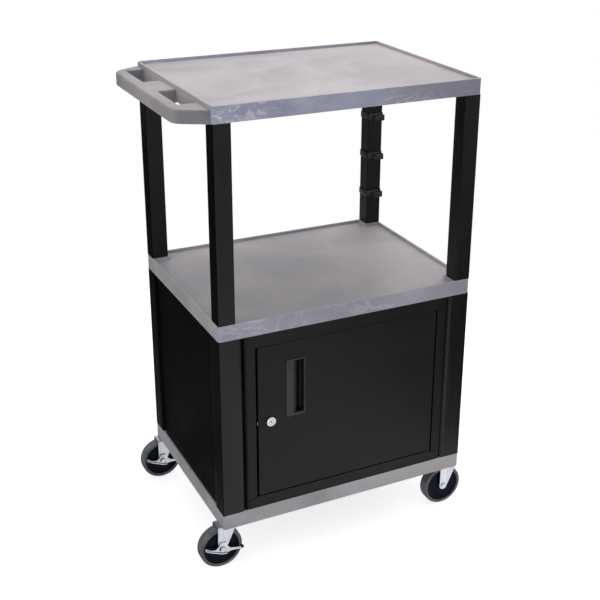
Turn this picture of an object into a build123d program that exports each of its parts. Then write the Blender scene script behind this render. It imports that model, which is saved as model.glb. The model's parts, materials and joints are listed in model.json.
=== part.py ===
from build123d import *
import math
import os

os.makedirs("parts", exist_ok=True)

inch = 25.4

# Shelves: moulded trays with a raised lip, a ribbed underside and solid corners.
shelf_length = 24 * inch
shelf_depth = 18 * inch
shelf_height = 35.0
shelf_corner_radius = 6.0
shelf_edge_radius = 1.2
lip_height = 0.25 * inch
lip_width = 4.5
deck_thickness = 4.5
skirt_wall = 4.0
rib_wall = 3.0
rib_bays_x = 6
rib_bays_y = 5
corner_margin = 4.0

# Clear height between two shelves.
lower_bay = 423.75
upper_bay = 423.75

# Push handle, moulded on the left end of the top shelf.
handle_reach = 65.2
handle_grip_width = 375.0
handle_root_width = 444.0
handle_height = 28.5
handle_drop = 1.4
handle_bar_width = 26.0
handle_web_width = 91.0
handle_web_offset = 14.5
handle_slot_length = 122.0
handle_corner_radius = 31.0
handle_slot_radius = 6.0
handle_slot_end_radius = 14.0
handle_top_radius = 5.0
handle_base_radius = 1.0
handle_overlap = 3.0

# Upper legs and the wider lower posts, both hollow, with a spigot at each end.
leg_inset = 0.5
leg_size = 1.5 * inch
leg_edge_radius = 1.5
leg_wall = 3.0
post_size = 54.0
post_inner_radius = 12.0
leg_bore_radius = 1.0
spigot_size = 30.0
spigot_length = 14.0
spigot_wall = 3.0
spigot_edge_radius = 2.0
socket_clearance = 0.15
socket_spare_depth = 0.3

# Steel cabinet between the two lower shelves.
sheet = 1.2
sheet_gap = 0.3
cabinet_front_inset = 3.1
side_recess = 6.0
side_fold_radius = 9.0
hinge_fold_radius = 2.0
side_edge_radius = 4.0
side_inner_fold_radius = 1.5
latch_stile_width = 28.5
hinge_stile_width = 23.5
jamb_depth = 6.0
jamb_fold_radius = 2.0
rail_end_gap = 10.0
top_rail_height = 30.0
top_rail_corner = 4.0
bottom_rail_height = 27.0
bottom_rail_mitre_width = 22.0
bottom_rail_mitre_height = 6.0
back_overlap = 11.5
screw_head_diameter = 8.0
screw_head_height = 2.4
screw_shank_diameter = 4.0
screw_shank_length = 9.0
screw_clearance = 0.1
back_screw_edge = 11.0
back_screw_rows = 4

# Door: a folded pan that turns on two corner pins at its right edge.
door_thickness = 16.0
door_latch_gap = 3.0
door_hinge_gap = 4.0
door_top_gap = 1.0
door_bottom_gap = 2.0
door_lip = 8.0
door_edge_radius = 1.8
door_corner_radius = 2.5
hinge_setback = 4.0
hinge_pin_diameter = 5.0
hinge_pin_reach = 9.0
hinge_fit = 0.05
hinge_tab_thickness = 2.0
hinge_tab_gap = 0.6
hinge_tab_side = 5.5
hinge_tab_reach = 14.0
hinge_plate_thickness = 3.0
hinge_plate_reach = 22.0
stiffener_width = 60.0
stiffener_depth = 11.0
stiffener_flange = 12.0
stiffener_end_gap = 12.0
stiffener_offset = 55.0
stiffener_fold_radius = 2.0

# Recessed pull, set in from the latch edge and down from the top of the door.
pull_offset = 66.5
pull_top_gap = 43.0
pull_width = 45.0
pull_height = 137.0
pull_plate = 1.5
pull_plate_round = 0.6
pull_corner_radius = 2.0
pull_grip_width = 16.0
pull_ramp_width = 20.5
pull_depth = 12.5
pull_wall = 1.5
pull_side_rim = 2.5
pull_top_rim = 3.0
pull_bottom_rim = 5.0
pull_fit = 0.2

# Cam lock.
lock_offset = 30.0
lock_height = 181.8
lock_bezel_diameter = 22.0
lock_bezel_height = 3.3
lock_bezel_round = 0.8
lock_barrel_diameter = 18.6
lock_barrel_length = 7.0
lock_hole_fit = 0.2
lock_plug_diameter = 12.0
lock_plug_fit = 0.05
lock_plug_recess = 0.3
key_slot_width = 1.8
key_slot_height = 6.0
key_slot_depth = 4.0
key_slot_angle = 20.0
lock_nut_width = 23.0
lock_nut_height = 2.8
cam_thickness = 2.0
cam_gap = 0.4
cam_width = 10.0
cam_catch = 6.5
cam_tail_diameter = 6.0
cam_nut_width = 9.0
cam_nut_height = 2.6
cam_clearance = 1.5
wear_plate_height = 8.0
wear_plate_thickness = 0.6
wear_plate_edge = 0.2

# Cord clips on the back right leg.
clip_height = 14.5
clip_band = 1.8
clip_fit = 0.1
clip_channel = 4.6
clip_finger = 2.0
clip_finger_span = 27.0
clip_finger_height = 14.0
clip_finger_drop = 4.0
clip_first_drop = 143.5
clip_pitch = 99.5
clip_count = 3

# Casters: four swivelling wheels, the two under the handle end with a brake.
caster_inset_x = 14.8
caster_inset_front = 28.6
caster_inset_back = 20.6
caster_trail = 15.0
wheel_diameter = 100.0
tyre_width = 25.0
tyre_thickness = 8.0
tyre_shoulder = 5.0
core_rim_width = 22.0
core_rim_wall = 4.0
core_web = 6.0
core_dish_radius = 3.0
hub_diameter = 26.0
hub_width = 27.0
hub_gap = 0.4
bushing_diameter = 12.0
bushing_fit = 0.05
axle_diameter = 8.0
axle_fit = 0.05
axle_head_width = 12.0
axle_head_height = 3.4
axle_nut_height = 4.6
axle_thread_proud = 1.6
fork_sheet = 2.4
fork_crown_back = 24.5
fork_crown_front = 18.0
fork_eye_radius = 10.0
fork_crown_drop = 6.0
fork_bend_radius = 3.0
crown_gap = 3.4
swivel_gap = 0.3
race_height = 2.2
race_diameter = 25.0
race_fit = 0.1
race_round = 0.4
stem_diameter = 12.7
stem_length = 15.0
stem_fit = 0.05
stem_spare_depth = 0.3
kingpin_diameter = 9.0
kingpin_fit = 0.05
kingpin_head_diameter = 16.0
kingpin_head_height = 2.2

# Brake lever: a stamped wing on the outside of the fork, turning on the axle.
lever_sheet = 2.0
lever_gap = 0.3
lever_fit = 0.05
lever_boss_radius = 8.5
lever_flange = 4.4
lever_bend_radius = 1.5
lever_corner_radius = 1.0
brake_tip_length = 7.0
brake_tip_height = 7.0
brake_tip_gap = 0.4
brake_tip_round = 1.0

# Levels, from the floor up.
wheel_radius = wheel_diameter / 2
crown_under = wheel_diameter + crown_gap
crown_top = crown_under + fork_sheet
race_base = crown_top + swivel_gap
bottom_base = race_base
race_seat = bottom_base + race_height
bottom_rim = bottom_base + shelf_height
middle_base = bottom_rim + lower_bay
middle_rim = middle_base + shelf_height
top_base = middle_rim + upper_bay

# The origin is on the floor under the middle of the whole cart.
caster_x = shelf_length / 2 - caster_inset_x
left_reach = shelf_length / 2 + handle_reach
right_reach = max(shelf_length / 2, caster_x - caster_trail + wheel_radius)
shelf_x = (left_reach - right_reach) / 2

leg_x = shelf_length / 2 - leg_inset - leg_size / 2
leg_y = shelf_depth / 2 - leg_inset - leg_size / 2
post_x = shelf_length / 2 - leg_inset - post_size / 2
post_y = shelf_depth / 2 - leg_inset - post_size / 2
corners = {
    "front_left": (-1, -1),
    "front_right": (1, -1),
    "back_left": (-1, 1),
    "back_right": (1, 1),
}
caster_spots = {}
for corner, (sign_x, sign_y) in corners.items():
    caster_inset_y = caster_inset_front if sign_y < 0 else caster_inset_back
    caster_spots[corner] = (shelf_x + sign_x * caster_x, sign_y * (shelf_depth / 2 - caster_inset_y))


def save(piece, name):
    piece.part.label = name
    export_step(piece.part, f"parts/{name}.step")
    print(name, len(piece.part.solids()), round(piece.part.volume))


def build_shelf(base, seat_above, seat_below, has_stems, has_handle):
    """One tray: seats are (x, y, width) of what stands on it or hangs under it, or None."""
    rim = base + shelf_height
    wall_x = shelf_x - shelf_length / 2
    root_x = wall_x + handle_overlap
    grip_x = wall_x - handle_reach
    with BuildPart() as shelf:
        if has_handle:
            with BuildSketch(Plane.XY.offset(base - handle_drop)) as plan:
                with BuildLine():
                    Polyline(
                        (root_x, handle_root_width / 2),
                        (wall_x, handle_root_width / 2),
                        (grip_x, handle_grip_width / 2),
                        (grip_x, -handle_grip_width / 2),
                        (wall_x, -handle_root_width / 2),
                        (root_x, -handle_root_width / 2),
                        close=True,
                    )
                make_face()
                fillet(plan.vertices().group_by(Axis.X)[0], radius=handle_corner_radius)
                slot_x = grip_x + handle_bar_width
                slot_shift = (handle_web_width + handle_slot_length) / 2
                for sign_y in (-1, 1):
                    with Locations(((slot_x + root_x) / 2, handle_web_offset + sign_y * slot_shift)):
                        Rectangle(root_x - slot_x, handle_slot_length, mode=Mode.SUBTRACT)
                slot_corners = plan.vertices().filter_by_position(Axis.X, slot_x - 0.1, slot_x + 0.1)
                slot_corners = slot_corners.sort_by(lambda vertex: abs(vertex.Y - handle_web_offset))
                fillet(slot_corners[:2], radius=handle_slot_radius)
                fillet(slot_corners[2:], radius=handle_slot_end_radius)
            extrude(amount=handle_height)
            top_face = shelf.faces().sort_by(Axis.Z)[-1]
            base_face = shelf.faces().sort_by(Axis.Z)[0]
            free_top = top_face.edges().filter_by(lambda edge: edge.center().X < root_x - 0.1)
            fillet(free_top, radius=handle_top_radius)
            free_base = base_face.edges().filter_by(lambda edge: edge.center().X < root_x - 0.1)
            fillet(free_base, radius=handle_base_radius)
            with BuildSketch(Plane.XY.offset(base)):
                with Locations((shelf_x, 0)):
                    Rectangle(shelf_length, shelf_depth)
            extrude(amount=-handle_drop, mode=Mode.SUBTRACT)
        with BuildSketch(Plane.XY.offset(base)):
            with Locations((shelf_x, 0)):
                RectangleRounded(shelf_length, shelf_depth, shelf_corner_radius)
        extrude(amount=shelf_height)
        rim_face = shelf.faces().sort_by(Axis.Z)[-1]
        fillet(rim_face.edges(), radius=shelf_edge_radius)
        with BuildSketch(Plane.XY.offset(rim)):
            with Locations((shelf_x, 0)):
                RectangleRounded(
                    shelf_length - 2 * lip_width,
                    shelf_depth - 2 * lip_width,
                    shelf_corner_radius - lip_width / 2,
                )
            if seat_above:
                pad_side = corner_margin + seat_above[2] + leg_inset
                for sign_x, sign_y in corners.values():
                    pad_x = shelf_x + sign_x * (shelf_length - pad_side) / 2
                    pad_y = sign_y * (shelf_depth - pad_side) / 2
                    with Locations((pad_x, pad_y)):
                        Rectangle(pad_side, pad_side, mode=Mode.SUBTRACT)
        extrude(amount=-lip_height, mode=Mode.SUBTRACT)
        block_side = corner_margin + post_size + leg_inset
        pocket_x = (shelf_length - 2 * skirt_wall - (rib_bays_x - 1) * rib_wall) / rib_bays_x
        pocket_y = (shelf_depth - 2 * skirt_wall - (rib_bays_y - 1) * rib_wall) / rib_bays_y
        with BuildSketch(Plane.XY.offset(base)):
            with Locations((shelf_x, 0)):
                with GridLocations(pocket_x + rib_wall, pocket_y + rib_wall, rib_bays_x, rib_bays_y):
                    Rectangle(pocket_x, pocket_y)
            for sign_x, sign_y in corners.values():
                block_x = shelf_x + sign_x * (shelf_length - block_side) / 2
                block_y = sign_y * (shelf_depth - block_side) / 2
                with Locations((block_x, block_y)):
                    Rectangle(block_side, block_side, mode=Mode.SUBTRACT)
        extrude(amount=shelf_height - lip_height - deck_thickness, mode=Mode.SUBTRACT)
        socket_side = spigot_size + 2 * socket_clearance
        socket_depth = spigot_length + socket_spare_depth
        for seat, level, depth in ((seat_above, rim, -socket_depth), (seat_below, base, socket_depth)):
            if seat:
                with BuildSketch(Plane.XY.offset(level)):
                    for sign_x, sign_y in corners.values():
                        with Locations((shelf_x + sign_x * seat[0], sign_y * seat[1])):
                            RectangleRounded(socket_side, socket_side, spigot_edge_radius)
                extrude(amount=depth, mode=Mode.SUBTRACT)
        if has_stems:
            for level, radius, depth in (
                (base, race_diameter / 2 + race_fit, race_height),
                (race_seat, stem_diameter / 2 + stem_fit, stem_length + stem_spare_depth),
            ):
                with BuildSketch(Plane.XY.offset(level)):
                    with Locations(*caster_spots.values()):
                        Circle(radius)
                extrude(amount=depth, mode=Mode.SUBTRACT)
    return shelf


leg_seat = (leg_x, leg_y, leg_size)
post_seat = (post_x, post_y, post_size)
bottom_shelf = build_shelf(bottom_base, post_seat, None, True, False)
save(bottom_shelf, "bottom_shelf")
middle_shelf = build_shelf(middle_base, leg_seat, post_seat, False, False)
save(middle_shelf, "middle_shelf")
top_shelf = build_shelf(top_base, None, leg_seat, False, True)
save(top_shelf, "top_shelf")


def build_leg(centre_x, centre_y, base, length, size, wall, inner_radius, sign_x, sign_y):
    """A square tube with a narrower spigot at both ends and one bore right through."""
    with BuildPart() as leg:
        with BuildSketch(Plane.XY.offset(base)) as section:
            with Locations((centre_x, centre_y)):
                Rectangle(size, size)
            outer = Vector(centre_x + sign_x * size, centre_y + sign_y * size, base)
            corner_list = section.vertices().sort_by(lambda vertex: (Vector(*vertex) - outer).length)
            fillet(corner_list[1:], radius=inner_radius)
            fillet(section.vertices().sort_by(lambda v: (Vector(*v) - outer).length)[0], leg_edge_radius)
        extrude(amount=length)
        with BuildSketch(Plane.XY.offset(base - spigot_length)):
            with Locations((centre_x, centre_y)):
                RectangleRounded(spigot_size, spigot_size, spigot_edge_radius)
        extrude(amount=length + 2 * spigot_length)
        with BuildSketch(Plane.XY.offset(base - spigot_length)):
            with Locations((centre_x, centre_y)):
                Rectangle(spigot_size - 2 * spigot_wall, spigot_size - 2 * spigot_wall)
        extrude(amount=length + 2 * spigot_length, mode=Mode.SUBTRACT)
        if size - 2 * wall > spigot_size:
            with BuildSketch(Plane.XY.offset(base + wall)):
                with Locations((centre_x, centre_y)):
                    RectangleRounded(size - 2 * wall, size - 2 * wall, max(inner_radius - wall, leg_bore_radius))
            extrude(amount=length - 2 * wall, mode=Mode.SUBTRACT)
    return leg


for corner, (sign_x, sign_y) in corners.items():
    upper_leg = build_leg(
        shelf_x + sign_x * leg_x, sign_y * leg_y, middle_rim, upper_bay,
        leg_size, leg_wall, leg_edge_radius, sign_x, sign_y,
    )
    save(upper_leg, f"upper_leg_{corner}")
    lower_post = build_leg(
        shelf_x + sign_x * post_x, sign_y * post_y, bottom_rim, lower_bay,
        post_size, leg_wall, post_inner_radius, sign_x, sign_y,
    )
    save(lower_post, f"lower_post_{corner}")

# Cabinet faces, measured from the shelf's centre line.
cabinet_front = -(shelf_depth / 2 - cabinet_front_inset)
cabinet_back = -cabinet_front
fold_x = shelf_length / 2 - leg_inset - post_size - sheet_gap
fold_y = shelf_depth / 2 - leg_inset - post_size - sheet_gap
side_x = shelf_length / 2 - leg_inset - side_recess
rail_front = cabinet_front - sheet
rail_x = fold_x - rail_end_gap
floor_top = bottom_rim + sheet
roof_under = middle_base - sheet


# Screw pattern of the back panel, on the plane of the rear stiles.
back_x = fold_x - back_overlap
screw_x = back_x - back_screw_edge
screw_span = lower_bay - 2 * sheet - 4 * back_screw_edge
screw_pitch = screw_span / (back_screw_rows - 1)
screw_z = (floor_top + roof_under) / 2
back_plane = Plane(origin=(shelf_x, cabinet_back, screw_z), x_dir=(1, 0, 0), z_dir=(0, 1, 0))


def screw_pattern(radius):
    with GridLocations(2 * screw_x, screw_pitch, 2, back_screw_rows):
        Circle(radius)


def build_side(sign, stile_width, front_fold_radius):
    """Side sheet: door jamb, stile, round the front post, side panel, round the back post."""
    folds = [
        (fold_x - stile_width, cabinet_front + jamb_depth),
        (fold_x - stile_width, cabinet_front),
        (fold_x, cabinet_front),
        (fold_x, -fold_y),
        (side_x, -fold_y),
        (side_x, fold_y),
        (fold_x, fold_y),
        (fold_x, cabinet_back),
        (fold_x - latch_stile_width, cabinet_back),
    ]
    radii = [
        jamb_fold_radius,
        front_fold_radius,
        side_inner_fold_radius,
        side_edge_radius,
        side_edge_radius,
        side_inner_fold_radius,
        side_fold_radius,
    ]
    points = [(shelf_x + sign * x, y) for x, y in folds]
    with BuildPart() as side:
        with BuildSketch(Plane.XY.offset(floor_top)):
            with BuildLine():
                FilletPolyline(*points, radius=radii)
                offset(amount=sheet, side=Side.LEFT if sign > 0 else Side.RIGHT)
            make_face()
        extrude(amount=roof_under - floor_top)
        with BuildSketch(back_plane):
            screw_pattern(screw_shank_diameter / 2 + screw_clearance)
        extrude(amount=-2 * sheet, mode=Mode.SUBTRACT)
    return side


save(build_side(-1, latch_stile_width, side_fold_radius), "cabinet_left_side")
save(build_side(1, hinge_stile_width, hinge_fold_radius), "cabinet_right_side")


def sheet_plan():
    """Plan of the cabinet floor and roof, notched round the four posts."""
    with Locations((shelf_x, 0)):
        Rectangle(2 * fold_x, cabinet_back - cabinet_front)
        Rectangle(2 * side_x, 2 * fold_y)


with BuildPart() as cabinet_roof:
    with BuildSketch(Plane.XY.offset(roof_under)):
        sheet_plan()
        with Locations((shelf_x, cabinet_front - sheet / 2)):
            Rectangle(2 * rail_x, sheet)
    extrude(amount=sheet)
    with BuildSketch(Plane.XZ.offset(-cabinet_front)) as top_rail:
        with Locations((shelf_x, middle_base - top_rail_height / 2)):
            Rectangle(2 * rail_x, top_rail_height)
        fillet(top_rail.vertices().group_by(Axis.Y)[0], radius=top_rail_corner)
    extrude(amount=sheet)
save(cabinet_roof, "cabinet_roof")

with BuildPart() as cabinet_floor:
    with BuildSketch(Plane.XY.offset(bottom_rim)):
        sheet_plan()
        with Locations((shelf_x, cabinet_front - sheet / 2)):
            Rectangle(2 * rail_x, sheet)
    extrude(amount=sheet)
    rail_top = bottom_rim + bottom_rail_height
    with BuildSketch(Plane.XZ.offset(-cabinet_front)):
        with BuildLine():
            Polyline(
                (shelf_x - rail_x, bottom_rim),
                (shelf_x - rail_x, rail_top - bottom_rail_mitre_height),
                (shelf_x - rail_x + bottom_rail_mitre_width, rail_top),
                (shelf_x + rail_x - bottom_rail_mitre_width, rail_top),
                (shelf_x + rail_x, rail_top - bottom_rail_mitre_height),
                (shelf_x + rail_x, bottom_rim),
                close=True,
            )
        make_face()
    extrude(amount=sheet)
save(cabinet_floor, "cabinet_floor")

with BuildPart() as cabinet_back_panel:
    with BuildSketch(back_plane):
        Rectangle(2 * back_x, roof_under - floor_top)
        with GridLocations(2 * screw_x, screw_pitch, 2, back_screw_rows):
            Circle(screw_shank_diameter / 2 + screw_clearance, mode=Mode.SUBTRACT)
    extrude(amount=sheet)
save(cabinet_back_panel, "cabinet_back_panel")

with BuildPart() as back_panel_screws:
    with BuildSketch(back_plane.offset(sheet)):
        screw_pattern(screw_head_diameter / 2)
    extrude(amount=screw_head_height)
    head_tops = back_panel_screws.faces().filter_by(Axis.Y).group_by(Axis.Y)[-1]
    fillet(head_tops.edges(), radius=screw_head_height / 2)
    with BuildSketch(back_plane.offset(sheet)):
        screw_pattern(screw_shank_diameter / 2)
    extrude(amount=-screw_shank_length)
save(back_panel_screws, "back_panel_screws")

# Door outline, measured like the cabinet faces.
door_left = latch_stile_width - fold_x + door_latch_gap
door_right = fold_x - hinge_stile_width - door_hinge_gap
door_bottom = bottom_rim + bottom_rail_height + door_bottom_gap
door_top = middle_base - top_rail_height - door_top_gap
door_width = door_right - door_left
door_height = door_top - door_bottom
door_front = rail_front
door_back = door_front + door_thickness
door_middle = (shelf_x + (door_left + door_right) / 2, door_front, (door_bottom + door_top) / 2)
door_plane = Plane(origin=door_middle, x_dir=(1, 0, 0), z_dir=(0, -1, 0))
hinge_x = shelf_x + door_right - hinge_setback
hinge_y = door_front + hinge_setback

# Pull corners and depths, and the tub behind its plate.
pull_left = shelf_x + door_left + pull_offset
pull_right = pull_left + pull_width
pull_top = door_top - pull_top_gap
pull_bottom = pull_top - pull_height
pull_front = door_front - pull_plate
pocket_left = pull_left + pull_grip_width
pocket_right = pull_right - pull_side_rim
pocket_back = door_front + pull_depth
pocket_low = pull_bottom + pull_bottom_rim
pocket_high = pull_top - pull_top_rim
tub_left = pocket_left - pull_wall
tub_right = pocket_right + pull_wall
tub_low = pocket_low - pull_wall
tub_high = pocket_high + pull_wall

# Lock axis, and the path of its cam behind the jamb.
lock_x = shelf_x + door_left + lock_offset
lock_z = door_bottom + lock_height
lock_plane = Plane(origin=(lock_x, door_front, lock_z), x_dir=(1, 0, 0), z_dir=(0, -1, 0))
barrel_back = cabinet_front + lock_barrel_length
cam_front = barrel_back + cam_gap
cam_back = cam_front + cam_thickness
cam_reach = lock_offset + door_latch_gap + cam_catch
slot_front = cam_front - cam_clearance
slot_back = cam_back + cam_clearance
slot_drop = math.sqrt(cam_reach**2 - (lock_offset - sheet) ** 2) + cam_width / 2 + cam_clearance
slot_rise = cam_width / 2 + cam_clearance

with BuildPart() as door_panel:
    with BuildSketch(door_plane):
        RectangleRounded(door_width, door_height, door_corner_radius)
    extrude(amount=-door_thickness)
    fillet(door_panel.faces().sort_by(Axis.Y)[0].edges(), radius=door_edge_radius)
    with BuildSketch(door_plane.offset(-sheet)):
        Rectangle(door_width - 2 * sheet, door_height - 2 * sheet)
    extrude(amount=2 * sheet - door_thickness, mode=Mode.SUBTRACT)
    with BuildSketch(door_plane.offset(sheet - door_thickness)):
        Rectangle(door_width - 2 * sheet - 2 * door_lip, door_height - 2 * sheet - 2 * door_lip)
    extrude(amount=-sheet, mode=Mode.SUBTRACT)
    with BuildSketch(Plane.XY.offset(door_bottom)):
        with Locations((hinge_x, hinge_y)):
            Circle(hinge_pin_diameter / 2 + hinge_fit)
    extrude(amount=door_height, mode=Mode.SUBTRACT)
    with BuildSketch(lock_plane):
        Circle(lock_barrel_diameter / 2 + lock_hole_fit)
    extrude(amount=-sheet, mode=Mode.SUBTRACT)
    with BuildSketch(Plane.XZ.offset(-door_front)):
        with Locations(((tub_left + tub_right) / 2, (tub_low + tub_high) / 2)):
            Rectangle(tub_right - tub_left + 2 * pull_fit, tub_high - tub_low + 2 * pull_fit)
    extrude(amount=-sheet, mode=Mode.SUBTRACT)
    with BuildSketch(Plane.YZ.offset(shelf_x + door_left)):
        with Locations(((slot_front + slot_back) / 2, lock_z + (slot_rise - slot_drop) / 2)):
            Rectangle(slot_back - slot_front, slot_rise + slot_drop)
    extrude(amount=sheet, mode=Mode.SUBTRACT)
save(door_panel, "door_panel")

with BuildPart() as door_stiffener:
    stiffener_x = shelf_x + stiffener_offset
    foot_x = stiffener_width / 2 + stiffener_flange
    crest_y = cabinet_front + stiffener_depth
    with BuildSketch(Plane.XY.offset(door_bottom + sheet + stiffener_end_gap)):
        with BuildLine():
            FilletPolyline(
                (stiffener_x - foot_x, cabinet_front),
                (stiffener_x - stiffener_width / 2, cabinet_front),
                (stiffener_x - stiffener_width / 2, crest_y),
                (stiffener_x + stiffener_width / 2, crest_y),
                (stiffener_x + stiffener_width / 2, cabinet_front),
                (stiffener_x + foot_x, cabinet_front),
                radius=stiffener_fold_radius,
            )
            offset(amount=sheet, side=Side.LEFT)
        make_face()
    extrude(amount=door_height - 2 * sheet - 2 * stiffener_end_gap)
save(door_stiffener, "door_stiffener")

with BuildPart() as door_hinge_plates:
    plate_left = hinge_x - hinge_plate_reach
    plate_right = shelf_x + door_right - sheet
    plate_middle = ((plate_left + plate_right) / 2, (cabinet_front + door_back - sheet) / 2)
    low_plane = Plane.XY.offset(door_bottom + sheet)
    high_plane = Plane.XY.offset(door_top - sheet - hinge_plate_thickness)
    with BuildSketch(low_plane, high_plane):
        with Locations(plate_middle):
            Rectangle(plate_right - plate_left, door_thickness - 2 * sheet)
        with Locations((hinge_x, hinge_y)):
            Circle(hinge_pin_diameter / 2 + hinge_fit, mode=Mode.SUBTRACT)
    extrude(amount=hinge_plate_thickness)
save(door_hinge_plates, "door_hinge_plates")

# Angle brackets behind both rails carry the door's pins.
with BuildPart() as hinge_brackets:
    for face_z, root_z, away in ((door_bottom, floor_top, -1), (door_top, roof_under, 1)):
        tab_z = face_z + away * hinge_tab_gap
        tab_middle_x = hinge_x + (hinge_tab_side - hinge_tab_reach) / 2
        tab_width = hinge_tab_side + hinge_tab_reach
        tab_depth = hinge_y + hinge_tab_side - cabinet_front
        with BuildSketch(Plane.XY.offset(tab_z)):
            with Locations((tab_middle_x, cabinet_front + tab_depth / 2)):
                Rectangle(tab_width, tab_depth)
        extrude(amount=away * hinge_tab_thickness)
        with BuildSketch(Plane.XY.offset(tab_z)):
            with Locations((tab_middle_x, cabinet_front + hinge_tab_thickness / 2)):
                Rectangle(tab_width, hinge_tab_thickness)
        extrude(amount=root_z - tab_z)
        with BuildSketch(Plane.XY.offset(tab_z)):
            with Locations((hinge_x, hinge_y)):
                Circle(hinge_pin_diameter / 2)
        extrude(amount=-away * hinge_pin_reach)
save(hinge_brackets, "hinge_brackets")

with BuildPart() as door_pull:
    with BuildSketch(Plane.XZ.offset(-door_front)):
        with Locations(((pull_left + pull_right) / 2, (pull_bottom + pull_top) / 2)):
            RectangleRounded(pull_width, pull_height, pull_corner_radius)
    extrude(amount=pull_plate)
    fillet(door_pull.faces().sort_by(Axis.Y)[0].edges(), radius=pull_plate_round)
    with BuildSketch(Plane.XY.offset(tub_low)):
        with BuildLine():
            Polyline(
                (tub_left, door_front),
                (tub_left + pull_ramp_width, pocket_back + pull_wall),
                (tub_right, pocket_back + pull_wall),
                (tub_right, door_front),
                close=True,
            )
        make_face()
    extrude(amount=tub_high - tub_low)
    with BuildSketch(Plane.XY.offset(pocket_low)):
        with BuildLine():
            Polyline(
                (pocket_left, pull_front),
                (pocket_left + pull_ramp_width, pocket_back),
                (pocket_right, pocket_back),
                (pocket_right, pull_front),
                close=True,
            )
        make_face()
    extrude(amount=pocket_high - pocket_low, mode=Mode.SUBTRACT)
save(door_pull, "door_pull")

with BuildPart() as lock_housing:
    with BuildSketch(lock_plane):
        Circle(lock_bezel_diameter / 2)
    extrude(amount=lock_bezel_height)
    fillet(lock_housing.faces().sort_by(Axis.Y)[0].edges(), radius=lock_bezel_round)
    with BuildSketch(lock_plane):
        Circle(lock_barrel_diameter / 2)
    extrude(amount=door_front - barrel_back)
    with BuildSketch(lock_plane.offset(lock_bezel_height)):
        Circle(lock_plug_diameter / 2 + lock_plug_fit)
    extrude(amount=door_front - lock_bezel_height - barrel_back, mode=Mode.SUBTRACT)
save(lock_housing, "lock_housing")

with BuildPart() as lock_nut:
    with BuildSketch(lock_plane.offset(-sheet)):
        RegularPolygon(radius=lock_nut_width / 2, side_count=6, major_radius=False)
        Circle(lock_barrel_diameter / 2, mode=Mode.SUBTRACT)
    extrude(amount=-lock_nut_height)
save(lock_nut, "lock_nut")

with BuildPart() as lock_wear_plate:
    plate_front = door_front + door_edge_radius + wear_plate_edge
    plate_rear = slot_front - wear_plate_edge
    with BuildSketch(Plane.YZ.offset(shelf_x + door_left)):
        with Locations(((plate_front + plate_rear) / 2, lock_z)):
            Rectangle(plate_rear - plate_front, wear_plate_height)
    extrude(amount=-wear_plate_thickness)
save(lock_wear_plate, "lock_wear_plate")

with BuildPart() as lock_plug:
    plug_plane = lock_plane.offset(lock_bezel_height - lock_plug_recess)
    with BuildSketch(plug_plane):
        Circle(lock_plug_diameter / 2)
    extrude(amount=door_front - lock_bezel_height + lock_plug_recess - cam_front)
    with BuildSketch(plug_plane):
        Rectangle(key_slot_width, key_slot_height, rotation=key_slot_angle)
    extrude(amount=-key_slot_depth, mode=Mode.SUBTRACT)
    with BuildSketch(lock_plane.offset(door_front - cam_front)):
        Circle(cam_tail_diameter / 2)
    extrude(amount=-cam_thickness - cam_nut_height)
save(lock_plug, "lock_plug")

with BuildPart() as lock_cam:
    with BuildSketch(lock_plane.offset(door_front - cam_front)):
        with Locations((0, (cam_width - cam_reach) / 2)):
            SlotOverall(cam_reach, cam_width, rotation=90)
        Circle(cam_tail_diameter / 2, mode=Mode.SUBTRACT)
    extrude(amount=-cam_thickness)
save(lock_cam, "lock_cam")

with BuildPart() as lock_cam_nut:
    with BuildSketch(lock_plane.offset(door_front - cam_back)):
        RegularPolygon(radius=cam_nut_width / 2, side_count=6, major_radius=False)
        Circle(cam_tail_diameter / 2, mode=Mode.SUBTRACT)
    extrude(amount=-cam_nut_height)
save(lock_cam_nut, "lock_cam_nut")

# Cord clips: a band round the leg with a tongue across its front.
clip_x = shelf_x + leg_x
clip_inner = leg_size + 2 * clip_fit
clip_outer = clip_inner + 2 * clip_band
tongue_back = leg_y - clip_outer / 2 - clip_channel
tongue_right = clip_x + clip_outer / 2
with BuildPart() as cord_clips:
    for index in range(clip_count):
        clip_z = top_base - clip_first_drop - index * clip_pitch
        with BuildSketch(Plane.XY.offset(clip_z - clip_height / 2)):
            with Locations((clip_x, leg_y)):
                RectangleRounded(clip_outer, clip_outer, leg_edge_radius + clip_band)
                RectangleRounded(clip_inner, clip_inner, leg_edge_radius, mode=Mode.SUBTRACT)
        extrude(amount=clip_height)
        with BuildSketch(Plane.XZ.offset(-tongue_back)):
            with Locations((tongue_right - clip_finger_span / 2, clip_z - clip_finger_drop)):
                SlotOverall(clip_finger_span, clip_finger_height)
            with Locations((tongue_right - clip_finger_height / 2, clip_z - clip_finger_drop)):
                Rectangle(clip_finger_height, clip_finger_height)
        extrude(amount=clip_finger)
        root_depth = clip_channel + leg_edge_radius + clip_band
        with BuildSketch(Plane.XY.offset(clip_z - clip_finger_drop - clip_finger_height / 2)):
            with Locations((tongue_right - clip_band / 2, tongue_back + root_depth / 2)):
                Rectangle(clip_band, root_depth)
        extrude(amount=clip_finger_height)
save(cord_clips, "cord_clips")

# Widths across a caster, out from the middle of its wheel.
fork_inner = hub_width / 2 + hub_gap
fork_outer = fork_inner + fork_sheet
lever_inner = fork_outer + lever_gap
lever_outer = lever_inner + lever_sheet
braked_corners = ("front_left", "back_left")

# Lever outline from the axle, as (x, z), anticlockwise from its left end.
lever_lower = [(-42, 8.5), (-28, 0.5), (-14, -5), (-3, -10), (9, -11.5), (22, -9), (34, -10), (44, -12)]
lever_upper = [(44, -6.5), (32, -4.5), (18, -1), (12, 6), (8, 16), (-5, 17), (-11, 6), (-18, 2), (-29, 5), (-42, 14)]


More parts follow.
